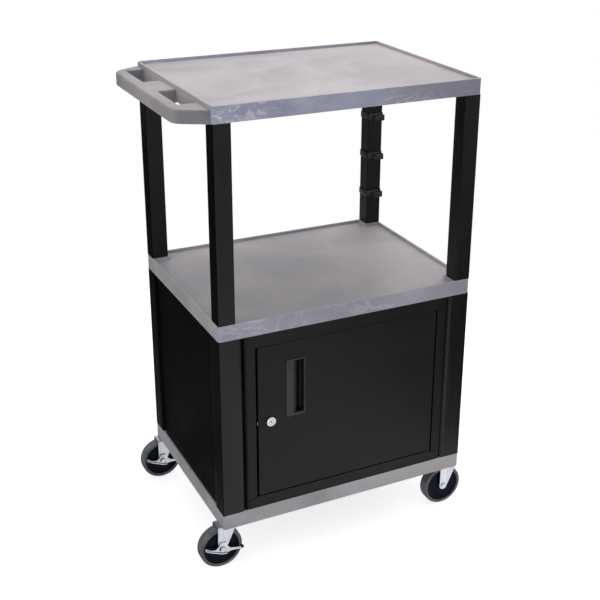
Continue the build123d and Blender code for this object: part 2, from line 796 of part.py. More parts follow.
def wheel_plane(wheel_x, wheel_y, distance):
    """Plane facing -Y at this distance in front of the middle of a wheel."""
    return Plane(origin=(wheel_x, wheel_y - distance, wheel_radius), x_dir=(1, 0, 0), z_dir=(0, -1, 0))


def build_mount(swivel_x, swivel_y):
    """Stem, raceway let into the shelf, and the kingpin that holds the fork."""
    with BuildPart() as mount:
        with BuildSketch(Plane.XY.offset(race_base)):
            with Locations((swivel_x, swivel_y)):
                Circle(race_diameter / 2)
        extrude(amount=race_height)
        fillet(mount.faces().sort_by(Axis.Z)[0].edges(), radius=race_round)
        with BuildSketch(Plane.XY.offset(race_seat)):
            with Locations((swivel_x, swivel_y)):
                Circle(stem_diameter / 2)
        extrude(amount=stem_length)
        with BuildSketch(Plane.XY.offset(race_base)):
            with Locations((swivel_x, swivel_y)):
                Circle(kingpin_diameter / 2)
        extrude(amount=crown_under - swivel_gap - race_base)
        with BuildSketch(Plane.XY.offset(crown_under - swivel_gap)):
            with Locations((swivel_x, swivel_y)):
                Circle(kingpin_head_diameter / 2)
        extrude(amount=-kingpin_head_height)
        fillet(mount.faces().sort_by(Axis.Z)[0].edges(), radius=kingpin_head_height / 3)
    return mount


def build_fork(swivel_x, swivel_y, wheel_x):
    """Folded yoke: a crown under the raceway and two legs hulled down to the axle."""
    crown_left = swivel_x - fork_crown_back - wheel_x
    crown_right = swivel_x + fork_crown_front - wheel_x
    crown_z = crown_top - wheel_radius
    with BuildPart() as fork:
        with BuildSketch(wheel_plane(wheel_x, swivel_y, -fork_outer)) as profile:
            Circle(fork_eye_radius)
            with Locations(((crown_left + crown_right) / 2, crown_z - fork_crown_drop / 2)):
                Rectangle(crown_right - crown_left, fork_crown_drop)
            make_hull()
        extrude(amount=2 * fork_outer)
        top_edges = fork.faces().sort_by(Axis.Z)[-1].edges().filter_by(Axis.X)
        fillet(top_edges, radius=fork_bend_radius)
        with BuildSketch(wheel_plane(wheel_x, swivel_y, -fork_inner)):
            with Locations((0, crown_under - wheel_radius - wheel_diameter)):
                Rectangle(2 * wheel_diameter, 2 * wheel_diameter)
        extrude(amount=2 * fork_inner, mode=Mode.SUBTRACT)
        with BuildSketch(wheel_plane(wheel_x, swivel_y, fork_outer)):
            Circle(axle_diameter / 2 + axle_fit)
        extrude(amount=-2 * fork_outer, mode=Mode.SUBTRACT)
        with BuildSketch(Plane.XY.offset(crown_top)):
            with Locations((swivel_x, swivel_y)):
                Circle(kingpin_diameter / 2 + kingpin_fit)
        extrude(amount=-fork_sheet, mode=Mode.SUBTRACT)
    return fork


def build_axle(wheel_x, wheel_y, head_face):
    """Hex bolt through both fork legs, with its nut on the far side."""
    thread_end = fork_outer + axle_nut_height + axle_thread_proud
    with BuildPart() as axle:
        with BuildSketch(wheel_plane(wheel_x, wheel_y, head_face)):
            RegularPolygon(radius=axle_head_width / 2, side_count=6, major_radius=False, rotation=15)
        extrude(amount=axle_head_height)
        chamfer(axle.faces().sort_by(Axis.Y)[0].edges(), length=axle_head_height / 5)
        with BuildSketch(wheel_plane(wheel_x, wheel_y, -fork_outer)):
            RegularPolygon(radius=axle_head_width / 2, side_count=6, major_radius=False)
        extrude(amount=-axle_nut_height)
        with BuildSketch(wheel_plane(wheel_x, wheel_y, head_face)):
            Circle(axle_diameter / 2)
        extrude(amount=-head_face - thread_end)
    return axle


def build_bushing(wheel_x, wheel_y):
    with BuildPart() as bushing:
        with BuildSketch(wheel_plane(wheel_x, wheel_y, fork_inner)):
            Circle(bushing_diameter / 2)
            Circle(axle_diameter / 2 + axle_fit, mode=Mode.SUBTRACT)
        extrude(amount=-2 * fork_inner)
    return bushing


def build_core(wheel_x, wheel_y):
    """Dished wheel core: hub, web and rim turned from one half section."""
    rim_radius = wheel_radius - tyre_thickness
    hub_radius = hub_diameter / 2
    with BuildPart() as core:
        with BuildSketch(Plane(origin=(wheel_x, wheel_y, wheel_radius), x_dir=(1, 0, 0), z_dir=(0, 0, 1))):
            with BuildLine():
                Polyline(
                    (bushing_diameter / 2 + bushing_fit, -hub_width / 2),
                    (hub_radius, -hub_width / 2),
                    (hub_radius + core_dish_radius, -core_web / 2),
                    (rim_radius - core_rim_wall - core_dish_radius, -core_web / 2),
                    (rim_radius - core_rim_wall, -core_rim_width / 2),
                    (rim_radius, -core_rim_width / 2),
                    (rim_radius, core_rim_width / 2),
                    (rim_radius - core_rim_wall, core_rim_width / 2),
                    (rim_radius - core_rim_wall - core_dish_radius, core_web / 2),
                    (hub_radius + core_dish_radius, core_web / 2),
                    (hub_radius, hub_width / 2),
                    (bushing_diameter / 2 + bushing_fit, hub_width / 2),
                    close=True,
                )
            make_face()
        revolve(axis=Axis((wheel_x, wheel_y, wheel_radius), (0, 1, 0)))
    return core


def build_tyre(wheel_x, wheel_y):
    rim_radius = wheel_radius - tyre_thickness
    tread_x = (rim_radius + wheel_radius) / 2
    with BuildPart() as tyre:
        with BuildSketch(Plane(origin=(wheel_x, wheel_y, wheel_radius), x_dir=(1, 0, 0), z_dir=(0, 0, 1))) as ring:
            with Locations((tread_x, 0)):
                Rectangle(tyre_thickness, tyre_width)
            fillet(ring.vertices().group_by(Axis.X)[-1], radius=tyre_shoulder)
        revolve(axis=Axis((wheel_x, wheel_y, wheel_radius), (0, 1, 0)))
    return tyre


def build_lever(wheel_x, wheel_y):
    """Stamped wing with a boss round the axle and a folded pedal edge on the left."""
    plane = wheel_plane(wheel_x, wheel_y, lever_inner)
    with BuildPart() as lever:
        with BuildSketch(plane) as outline:
            with BuildLine():
                Polyline(*lever_lower, *lever_upper, close=True)
            make_face()
            fillet(outline.vertices(), radius=lever_corner_radius)
            Circle(lever_boss_radius)
            Circle(axle_diameter / 2 + lever_fit, mode=Mode.SUBTRACT)
        extrude(amount=lever_sheet)
        with BuildSketch(plane.offset(lever_sheet)):
            with BuildLine():
                FilletPolyline(lever_upper[-1], *lever_lower[:5], radius=lever_bend_radius)
                offset(amount=lever_sheet, side=Side.LEFT)
            make_face()
        extrude(amount=lever_flange)
    return lever


def build_brake_tip(wheel_x, wheel_y):
    """Rubber shoe pushed on the right end of the lever, reaching in to the tyre."""
    end_x, low_z = lever_lower[-1]
    shoe_back = tyre_width / 2 + brake_tip_gap
    with BuildPart() as tip:
        with BuildSketch(wheel_plane(wheel_x, wheel_y, shoe_back)) as face:
            with Locations((end_x + brake_tip_length / 2, low_z + brake_tip_height / 2)):
                Rectangle(brake_tip_length, brake_tip_height)
            fillet(face.vertices(), radius=brake_tip_round)
        extrude(amount=lever_outer - shoe_back)
    return tip


for corner, (swivel_x, swivel_y) in caster_spots.items():
    wheel_x = swivel_x - caster_trail
    braked = corner in braked_corners
    head_face = lever_outer + lever_gap if braked else fork_outer
    save(build_mount(swivel_x, swivel_y), f"caster_{corner}_mount")
    save(build_fork(swivel_x, swivel_y, wheel_x), f"caster_{corner}_fork")
    save(build_axle(wheel_x, swivel_y, head_face), f"caster_{corner}_axle")
    save(build_bushing(wheel_x, swivel_y), f"caster_{corner}_bushing")
    save(build_core(wheel_x, swivel_y), f"caster_{corner}_core")
    save(build_tyre(wheel_x, swivel_y), f"caster_{corner}_tyre")
    if braked:
        save(build_lever(wheel_x, swivel_y), f"brake_{corner}_lever")
        save(build_brake_tip(wheel_x, swivel_y), f"brake_{corner}_tip")
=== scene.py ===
import json
import math
import bmesh
import bpy
from mathutils import Matrix, Vector

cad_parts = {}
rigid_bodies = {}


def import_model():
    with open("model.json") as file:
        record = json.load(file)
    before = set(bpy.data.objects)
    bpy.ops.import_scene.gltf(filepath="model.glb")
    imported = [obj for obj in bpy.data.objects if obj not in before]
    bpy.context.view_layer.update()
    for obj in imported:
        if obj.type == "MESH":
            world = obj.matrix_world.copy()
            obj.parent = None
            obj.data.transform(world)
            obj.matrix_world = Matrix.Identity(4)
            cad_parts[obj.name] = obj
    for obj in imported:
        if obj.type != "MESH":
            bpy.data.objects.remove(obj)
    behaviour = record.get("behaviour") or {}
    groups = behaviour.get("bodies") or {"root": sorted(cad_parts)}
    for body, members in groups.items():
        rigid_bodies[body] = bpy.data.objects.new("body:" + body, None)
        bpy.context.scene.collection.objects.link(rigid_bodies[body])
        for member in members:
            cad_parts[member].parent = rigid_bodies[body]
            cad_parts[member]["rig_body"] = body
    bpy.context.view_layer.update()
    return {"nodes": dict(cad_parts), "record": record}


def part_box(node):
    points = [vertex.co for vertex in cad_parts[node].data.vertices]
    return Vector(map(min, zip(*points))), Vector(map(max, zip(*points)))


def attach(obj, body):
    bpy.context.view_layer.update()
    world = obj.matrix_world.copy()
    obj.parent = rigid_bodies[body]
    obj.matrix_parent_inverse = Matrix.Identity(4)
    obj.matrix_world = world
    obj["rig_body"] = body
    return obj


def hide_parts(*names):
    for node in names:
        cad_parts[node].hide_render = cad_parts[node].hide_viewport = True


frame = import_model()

nodes = frame["nodes"]
slotOfNode = {part["node"]: part["material_slot"] for part in frame["record"]["subparts"]}
bodyOfNode = {name: thing["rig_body"] for name, thing in nodes.items()}
cornerNames = ("front_left", "front_right", "back_left", "back_right")
brakedCorners = ("front_left", "back_left")
print("frame loaded:", len(nodes), "CAD nodes")


# Small helpers for shader trees.
def addNode(tree, kind, **settings):
    node = tree.nodes.new(kind)
    for name, value in settings.items():
        setattr(node, name, value)
    return node


def feed(tree, socket, value):  # a socket takes either a link or a plain value
    if isinstance(value, bpy.types.NodeSocket):
        tree.links.new(value, socket)
    elif value is not None:
        socket.default_value = value


def calc(tree, operation, first, second=None, third=None, clamp=False):
    node = addNode(tree, "ShaderNodeMath", operation=operation, use_clamp=clamp)
    for socket, value in zip(node.inputs, (first, second, third)):
        feed(tree, socket, value)
    return node.outputs[0]


def feedAll(tree, node, **values):  # an underscore in a name stands for a space
    for name, value in values.items():
        feed(tree, node.inputs[name.replace("_", " ")], value)


def mapRange(tree, value, low, high, outLow=0.0, outHigh=1.0, smooth=True):
    kind = "SMOOTHSTEP" if smooth else "LINEAR"
    node = addNode(tree, "ShaderNodeMapRange", interpolation_type=kind)
    feedAll(tree, node, Value=value, From_Min=low, From_Max=high, To_Min=outLow, To_Max=outHigh)
    return node.outputs["Result"]


def noise(tree, vector, scale, detail=3.0, rough=0.5, distort=0.0):
    node = addNode(tree, "ShaderNodeTexNoise")
    feedAll(tree, node, Vector=vector, Scale=scale, Detail=detail, Roughness=rough, Distortion=distort)
    return node.outputs["Fac"]


def splitAxes(tree, vector):
    node = addNode(tree, "ShaderNodeSeparateXYZ")
    feed(tree, node.inputs[0], vector)
    return node.outputs


def stretch(tree, vector, scale):  # squeezes a pattern along chosen axes
    node = addNode(tree, "ShaderNodeMapping")
    feed(tree, node.inputs["Vector"], vector)
    feed(tree, node.inputs["Scale"], scale)
    return node.outputs["Vector"]


def mixColour(tree, factor, first, second, blend="MIX"):
    node = addNode(tree, "ShaderNodeMix", data_type="RGBA", blend_type=blend)
    feed(tree, node.inputs[0], factor)
    feed(tree, node.inputs[6], first)
    feed(tree, node.inputs[7], second)
    return node.outputs[2]


def newGroup(name, inputs, outputs):
    tree = bpy.data.node_groups.new(name, "ShaderNodeTree")
    for label, kind, value in inputs:
        socket = tree.interface.new_socket(name=label, in_out="INPUT", socket_type=kind)
        if value is not None:
            socket.default_value = value
    for label, kind in outputs:
        tree.interface.new_socket(name=label, in_out="OUTPUT", socket_type=kind)
    return tree, addNode(tree, "NodeGroupInput"), addNode(tree, "NodeGroupOutput")


# Effects that several materials share.
def buildCloudGroup():  # cloudy resin with veins, burnished marks, soft swirls and fine speckle
    tree, start, end = newGroup(
        "cloudyResin",
        [("Vector", "NodeSocketVector", None), ("Cloud Scale", "NodeSocketFloat", 4.0),
         ("Streak Scale", "NodeSocketFloat", 16.0), ("Burnish Scale", "NodeSocketFloat", 26.0),
         ("Speckle Scale", "NodeSocketFloat", 260.0)],
        [("Cloud", "NodeSocketFloat"), ("Streak", "NodeSocketFloat"), ("Swirl", "NodeSocketFloat"),
         ("Burnish", "NodeSocketFloat"), ("Speckle", "NodeSocketFloat")],
    )
    vector = start.outputs["Vector"]
    cloudScale = start.outputs["Cloud Scale"]
    broad = noise(tree, vector, cloudScale, 3.0, 0.5, 0.4)
    feed(tree, end.inputs["Cloud"], mapRange(tree, broad, 0.36, 0.64))
    drawn = stretch(tree, vector, (0.55, 0.8, 1.6))
    flow = noise(tree, drawn, start.outputs["Streak Scale"], 5.0, 0.62, 0.8)
    ridge = calc(tree, "ABSOLUTE", calc(tree, "SUBTRACT", flow, 0.5))
    thin = mapRange(tree, ridge, 0.0, 0.05, 1.0, 0.0)
    where = mapRange(tree, noise(tree, vector, 5.5, 3.0, 0.55), 0.5, 0.68)
    feed(tree, end.inputs["Streak"], calc(tree, "MULTIPLY", thin, where))
    rubbed = stretch(tree, vector, (0.6, 1.0, 1.3))
    burnt = noise(tree, rubbed, start.outputs["Burnish Scale"], 7.0, 0.70, 2.2)
    feed(tree, end.inputs["Burnish"], mapRange(tree, burnt, 0.52, 0.63))
    brushed = noise(tree, stretch(tree, vector, (0.3, 1.0, 1.0)), cloudScale, 5.0, 0.6, 1.2)
    feed(tree, end.inputs["Swirl"], mapRange(tree, brushed, 0.48, 0.64))
    feed(tree, end.inputs["Speckle"], noise(tree, vector, start.outputs["Speckle Scale"], 2.0, 0.5))
    return tree


def buildGrainGroup():  # leathery moulded grain or orange peel, as a height
    tree, start, end = newGroup(
        "surfaceGrain",
        [("Vector", "NodeSocketVector", None), ("Cell Scale", "NodeSocketFloat", 500.0),
         ("Wave Scale", "NodeSocketFloat", 40.0), ("Wave Amount", "NodeSocketFloat", 0.3)],
        [("Height", "NodeSocketFloat")],
    )
    vector = start.outputs["Vector"]
    cells = addNode(tree, "ShaderNodeTexVoronoi", feature="SMOOTH_F1")
    feedAll(tree, cells, Vector=vector, Scale=start.outputs["Cell Scale"])
    fine = noise(tree, vector, start.outputs["Cell Scale"], 2.0, 0.6)
    wave = noise(tree, vector, start.outputs["Wave Scale"], 2.0, 0.5)
    grain = calc(tree, "ADD", cells.outputs["Distance"], fine)
    height = calc(tree, "MULTIPLY_ADD", wave, start.outputs["Wave Amount"], grain)
    feed(tree, end.inputs["Height"], height)
    return tree


def buildScuffGroup():  # hairline scratches in two directions and worn patches
    tree, start, end = newGroup(
        "scuffMarks",
        [("Vector", "NodeSocketVector", None), ("Scratch Scale", "NodeSocketFloat", 60.0),
         ("Patch Scale", "NodeSocketFloat", 5.0), ("Thinness", "NodeSocketFloat", 0.03)],
        [("Scratch", "NodeSocketFloat"), ("Patch", "NodeSocketFloat")],
    )
    vector = start.outputs["Vector"]
    patch = mapRange(tree, noise(tree, vector, start.outputs["Patch Scale"], 4.0, 0.6), 0.5, 0.72)
    marks = []
    for scale, turn in (((0.05, 1.0, 1.0), 0.35), ((1.0, 0.06, 1.0), -0.5)):
        mapping = addNode(tree, "ShaderNodeMapping")
        feed(tree, mapping.inputs["Vector"], vector)
        mapping.inputs["Rotation"].default_value = (0.0, 0.0, turn)
        mapping.inputs["Scale"].default_value = scale
        line = noise(tree, mapping.outputs["Vector"], start.outputs["Scratch Scale"], 3.0, 0.7)
        offset = calc(tree, "ABSOLUTE", calc(tree, "SUBTRACT", line, 0.5))
        marks.append(mapRange(tree, offset, 0.0, start.outputs["Thinness"], 1.0, 0.0))
    both = calc(tree, "MAXIMUM", marks[0], marks[1])
    feed(tree, end.inputs["Scratch"], calc(tree, "MULTIPLY", both, patch))
    feed(tree, end.inputs["Patch"], patch)
    return tree


def buildEdgeGroup():  # how near a point is to the edges of a box, for worn corners
    tree, start, end = newGroup(
        "boxEdgeWear",
        [("Vector", "NodeSocketVector", None), ("Centre", "NodeSocketVector", None),
         ("Half Size", "NodeSocketVector", None), ("Width", "NodeSocketFloat", 0.004)],
        [("Edge", "NodeSocketFloat")],
    )
    centred = addNode(tree, "ShaderNodeVectorMath", operation="SUBTRACT")
    feed(tree, centred.inputs[0], start.outputs["Vector"])
    feed(tree, centred.inputs[1], start.outputs["Centre"])
    folded = addNode(tree, "ShaderNodeVectorMath", operation="ABSOLUTE")
    feed(tree, folded.inputs[0], centred.outputs[0])
    inset = addNode(tree, "ShaderNodeVectorMath", operation="SUBTRACT")
    feed(tree, inset.inputs[0], start.outputs["Half Size"])
    feed(tree, inset.inputs[1], folded.outputs[0])
    axes = splitAxes(tree, inset.outputs[0])
    near = [mapRange(tree, axis, 0.0, start.outputs["Width"], 1.0, 0.0) for axis in axes]
    pairs = [calc(tree, "MULTIPLY", near[index - 1], near[index]) for index in range(3)]
    most = calc(tree, "MAXIMUM", calc(tree, "MAXIMUM", pairs[0], pairs[1]), pairs[2])
    broken = mapRange(tree, noise(tree, start.outputs["Vector"], 90.0, 3.0, 0.6), 0.35, 0.65)
    feed(tree, end.inputs["Edge"], calc(tree, "MULTIPLY", most, broken))
    return tree


def buildDustGroup():  # dust that settles on faces that look up
    tree, start, end = newGroup(
        "settledDust",
        [("Vector", "NodeSocketVector", None), ("Dust Scale", "NodeSocketFloat", 30.0)],
        [("Dust", "NodeSocketFloat")],
    )
    normal = splitAxes(tree, addNode(tree, "ShaderNodeNewGeometry").outputs["Normal"])
    upward = mapRange(tree, normal["Z"], 0.4, 0.95)
    patchy = noise(tree, start.outputs["Vector"], start.outputs["Dust Scale"], 5.0, 0.65)
    feed(tree, end.inputs["Dust"], calc(tree, "MULTIPLY", upward, mapRange(tree, patchy, 0.4, 0.75)))
    return tree


def buildFrontGroup():  # masks for the painted sheen and shade on front faces: faces that look to the front, stronger towards the handle end
    tree, start, end = newGroup(
        "paintedFrontSheen",
        [("Vector", "NodeSocketVector", None), ("From", "NodeSocketFloat", -0.3),
         ("To", "NodeSocketFloat", 0.3), ("Slack", "NodeSocketFloat", 0.0005)],
        [("Forward", "NodeSocketFloat"), ("Front", "NodeSocketFloat"), ("Left", "NodeSocketFloat")],
    )
    normal = splitAxes(tree, addNode(tree, "ShaderNodeNewGeometry").outputs["Normal"])
    forward = mapRange(tree, normal["Y"], -0.9, -0.3, 1.0, 0.0)
    feed(tree, end.inputs["Forward"], forward)
    along = splitAxes(tree, start.outputs["Vector"])["X"]
    edge = calc(tree, "SUBTRACT", start.outputs["From"], start.outputs["Slack"])
    past = calc(tree, "GREATER_THAN", along, edge)
    feed(tree, end.inputs["Front"], calc(tree, "MULTIPLY", forward, past))
    fade = mapRange(tree, along, start.outputs["From"], start.outputs["To"], 1.0, 0.0, False)
    feed(tree, end.inputs["Left"], fade)
    return tree


cloudGroup = buildCloudGroup()
frontGroup = buildFrontGroup()
grainGroup = buildGrainGroup()
scuffGroup = buildScuffGroup()
edgeGroup = buildEdgeGroup()
dustGroup = buildDustGroup()
print("shared effects built")


def startMaterial(name):
    material = bpy.data.materials.new(name)
    material.use_nodes = True
    tree = material.node_tree
    shader = tree.nodes["Principled BSDF"]
    place = addNode(tree, "ShaderNodeTexCoord").outputs["Object"]
    return material, tree, shader, place


def useGroup(tree, group, vector, **values):
    node = addNode(tree, "ShaderNodeGroup")
    node.node_tree = group
    feedAll(tree, node, Vector=vector, **values)
    return node.outputs


def addBump(tree, shader, height, strength, distance):
    node = addNode(tree, "ShaderNodeBump")
    node.inputs["Strength"].default_value = strength
    node.inputs["Distance"].default_value = distance
    feed(tree, node.inputs["Height"], height)
    feed(tree, shader.inputs["Normal"], node.outputs["Normal"])


shelfLook = {
    "deep": (0.342, 0.337, 0.352, 1.0),
    "mid": (0.462, 0.436, 0.438, 1.0),
    "pale": (0.600, 0.595, 0.625, 1.0),
    "worn": (0.60, 0.59, 0.60, 1.0),
    "paintedSheenLeft": (0.96, 1.03, 1.33, 1.0),
    "paintedSheenRight": (0.61, 0.625, 0.745, 1.0),
    "handle": (0.80, 0.785, 0.77, 1.0),
    "handleFrontShade": (0.54, 0.55, 0.59, 1.0),
    "cloudScale": 4.2,
    "streakScale": 17.0,
    "speckleScale": 240.0,
    "scratchScale": 45.0,
    "patchScale": 4.0,
    "scratchThin": 0.012,
    "edgeWidth": 0.004,
    "swirlAmount": 0.26,
    "veinAmount": 0.75,
    "deckVeins": 0.05,
    "edgeAmount": 0.25,
    "scratchAmount": 0.08,
    "roughness": 0.48,
    "specular": 0.3,
    "grainScale": 420.0,
    "waveScale": 22.0,
    "bumpStrength": 0.22,
    "bumpDepth": 0.0006,
    "handleReach": 0.0652,
}
# strength of the painted sheen and shade on each shelf's front faces, weaker on the lower shelves
paintedFrontSheen = {"top_shelf": 1.0, "middle_shelf": 0.62, "bottom_shelf": 0.12}


def makeShelfMaterial(name, node, look):
    material, tree, shader, place = startMaterial(name)
    low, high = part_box(node)
    if node == "top_shelf":
        low.x += look["handleReach"]
    clouds = useGroup(tree, cloudGroup, place, Cloud_Scale=look["cloudScale"],
                      Streak_Scale=look["streakScale"], Speckle_Scale=look["speckleScale"])
    scuffs = useGroup(tree, scuffGroup, place, Scratch_Scale=look["scratchScale"],
                      Patch_Scale=look["patchScale"], Thinness=look["scratchThin"])
    edges = useGroup(tree, edgeGroup, place, Centre=(low + high) / 2, Half_Size=(high - low) / 2,
                     Width=look["edgeWidth"])
    sheen = useGroup(tree, frontGroup, place, From=low.x, To=high.x)
    paler = calc(tree, "MULTIPLY_ADD", sheen["Left"], -0.45, 0.40)
    cloud = calc(tree, "ADD", calc(tree, "MULTIPLY", clouds["Cloud"], 0.85), paler, clamp=True)
    base = mixColour(tree, cloud, look["deep"], look["mid"])
    swirl = calc(tree, "MULTIPLY", clouds["Swirl"], look["swirlAmount"])
    base = mixColour(tree, swirl, base, look["pale"])
    # painted sheen and shade: front faces are tinted bluer and paler towards the handle end and darker
    # towards the far end, strongest on the top shelf
    front = calc(tree, "MULTIPLY", sheen["Front"], paintedFrontSheen[node])
    paintedSheenTint = mixColour(tree, sheen["Left"], look["paintedSheenRight"], look["paintedSheenLeft"])
    base = mixColour(tree, front, base, mixColour(tree, 1.0, base, paintedSheenTint, "MULTIPLY"))
    # pale veins and rubbed marks on front faces: real marks in the resin, but drawn only where the
    # painted sheen falls and with its strength, so they are partly painted highlight
    rubbed = mapRange(tree, sheen["Left"], 0.45, 0.98, 0.14, 1.0)
    mark = calc(tree, "MULTIPLY", clouds["Burnish"], rubbed)
    vein = calc(tree, "MAXIMUM", mark, calc(tree, "MULTIPLY", clouds["Streak"], look["veinAmount"]))
    base = mixColour(tree, calc(tree, "MULTIPLY", vein, front), base, look["pale"])
    deckVein = calc(tree, "MULTIPLY", clouds["Streak"], look["deckVeins"])
    base = mixColour(tree, deckVein, base, look["pale"])
    # the handle is a warmer, darker tone; its faces that look to the front are made darker still, which
    # is painted shade
    if node == "top_shelf":
        onHandle = calc(tree, "LESS_THAN", splitAxes(tree, place)["X"], low.x - 0.0005)
        shade = mixColour(tree, sheen["Forward"], look["handle"], look["handleFrontShade"])
        base = mixColour(tree, onHandle, base, mixColour(tree, 1.0, base, shade, "MULTIPLY"))
    speckle = mapRange(tree, clouds["Speckle"], 0.35, 0.75, 0.95, 1.04)
    base = mixColour(tree, 1.0, base, speckle, "MULTIPLY")
    base = mixColour(tree, calc(tree, "MULTIPLY", edges["Edge"], look["edgeAmount"]), base, look["worn"])
    scratch = calc(tree, "MULTIPLY", scuffs["Scratch"], look["scratchAmount"])
    base = mixColour(tree, scratch, base, look["worn"])
    feed(tree, shader.inputs["Base Color"], base)
    rough = mapRange(tree, scuffs["Patch"], 0.0, 1.0, look["roughness"], look["roughness"] + 0.1)
    rough = calc(tree, "MULTIPLY_ADD", clouds["Streak"], -0.05, rough)
    feed(tree, shader.inputs["Roughness"], rough)
    shader.inputs["Specular IOR Level"].default_value = look["specular"]
    grain = useGroup(tree, grainGroup, place, Cell_Scale=look["grainScale"],
                     Wave_Scale=look["waveScale"], Wave_Amount=1.2)
    addBump(tree, shader, grain["Height"], look["bumpStrength"], look["bumpDepth"])
    return material


def depthMask(tree, place, first, last):  # grows with the depth behind the cart's front; it places painted shade in recesses
    return mapRange(tree, splitAxes(tree, place)["Y"], first, last)


blackPlasticLook = {
    "deep": (0.0012, 0.0012, 0.0013, 1.0),
    "pale": (0.0030, 0.0030, 0.0031, 1.0),
    "worn": (0.024, 0.024, 0.025, 1.0),
    "dust": (0.07, 0.07, 0.072, 1.0),
    "roughness": 0.40,
    "specular": 0.31,
}


plasticDetail = {
    "drawnScale": 70.0,
    "scratchScale": 70.0,
    "patchScale": 7.0,
    "scratchThin": 0.012,
    "scratchAmount": 0.25,
    "dustScale": 45.0,
    "dustAmount": 0.25,
    "waveScale": 30.0,
    "bumpDepth": 0.0004,
    "pocketFade": 0.006,
    "pocketShade": (0.001, 0.001, 0.001, 1.0),
}
drawnTube = (1.0, 1.0, 0.05)
evenGrain = (1.0, 1.0, 1.0)


def makeBlackPlastic(name, look, streak=drawnTube, cell=600.0, bump=0.18, shadeFrom=None):
    detail = plasticDetail
    material, tree, shader, place = startMaterial(name)
    drawn = noise(tree, stretch(tree, place, streak), detail["drawnScale"], 3.0, 0.6)
    scuffs = useGroup(tree, scuffGroup, place, Scratch_Scale=detail["scratchScale"],
                      Patch_Scale=detail["patchScale"], Thinness=detail["scratchThin"])
    dust = useGroup(tree, dustGroup, place, Dust_Scale=detail["dustScale"])
    base = mixColour(tree, mapRange(tree, drawn, 0.35, 0.65), look["deep"], look["pale"])
    scratch = calc(tree, "MULTIPLY", scuffs["Scratch"], detail["scratchAmount"])
    base = mixColour(tree, scratch, base, look["worn"])
    base = mixColour(tree, calc(tree, "MULTIPLY", dust["Dust"], detail["dustAmount"]), base, look["dust"])
    # painted shade: the deep end of a pocket is made near black
    if shadeFrom is not None:
        paintedDepthShade = depthMask(tree, place, shadeFrom, shadeFrom + detail["pocketFade"])
        base = mixColour(tree, paintedDepthShade, base, detail["pocketShade"])
    feed(tree, shader.inputs["Base Color"], base)
    rough = mapRange(tree, drawn, 0.3, 0.7, look["roughness"] - 0.04, look["roughness"] + 0.05)
    rough = calc(tree, "MULTIPLY_ADD", scuffs["Patch"], 0.06, rough)
    feed(tree, shader.inputs["Roughness"], rough)
    shader.inputs["Specular IOR Level"].default_value = look["specular"]
    grain = useGroup(tree, grainGroup, place, Cell_Scale=cell, Wave_Scale=detail["waveScale"],
                     Wave_Amount=1.2)
    addBump(tree, shader, grain["Height"], bump, detail["bumpDepth"])
    return material


powderCoatLook = {
    "deep": (0.0034, 0.0034, 0.0035, 1.0),
    "pale": (0.0056, 0.0056, 0.0058, 1.0),
    "worn": (0.04, 0.04, 0.042, 1.0),
    "dust": (0.08, 0.08, 0.082, 1.0),
    "roughness": 0.5,
    "specular": 0.23,
}


def makePowderCoat(name, look):
    material, tree, shader, place = startMaterial(name)
    patchy = noise(tree, place, 9.0, 4.0, 0.55)
    scuffs = useGroup(tree, scuffGroup, place, Scratch_Scale=60.0, Patch_Scale=5.0, Thinness=0.01)
    dust = useGroup(tree, dustGroup, place, Dust_Scale=35.0)
    base = mixColour(tree, mapRange(tree, patchy, 0.35, 0.65), look["deep"], look["pale"])
    base = mixColour(tree, calc(tree, "MULTIPLY", scuffs["Scratch"], 0.2), base, look["worn"])
    base = mixColour(tree, calc(tree, "MULTIPLY", dust["Dust"], 0.3), base, look["dust"])
    feed(tree, shader.inputs["Base Color"], base)
    rough = mapRange(tree, patchy, 0.3, 0.7, look["roughness"] - 0.04, look["roughness"] + 0.04)
    feed(tree, shader.inputs["Roughness"], rough)
    shader.inputs["Specular IOR Level"].default_value = look["specular"]
    peel = useGroup(tree, grainGroup, place, Cell_Scale=900.0, Wave_Scale=160.0, Wave_Amount=2.2)
    addBump(tree, shader, peel["Height"], 0.16, 0.0003)
    return material


zincLook = {
    "bright": (0.66, 0.685, 0.735, 1.0),
    "dull": (0.54, 0.56, 0.605, 1.0),
    "stain": (0.26, 0.275, 0.305, 1.0),
    "roughness": 0.30,
}


# painted shade in the key slot: the plug's colour turns near black behind its front
keyholeShade = {"start": 0.0004, "fade": 0.0008, "colour": (0.004, 0.004, 0.004, 1.0)}
rolledSheet = (1.0, 1.0, 0.08)


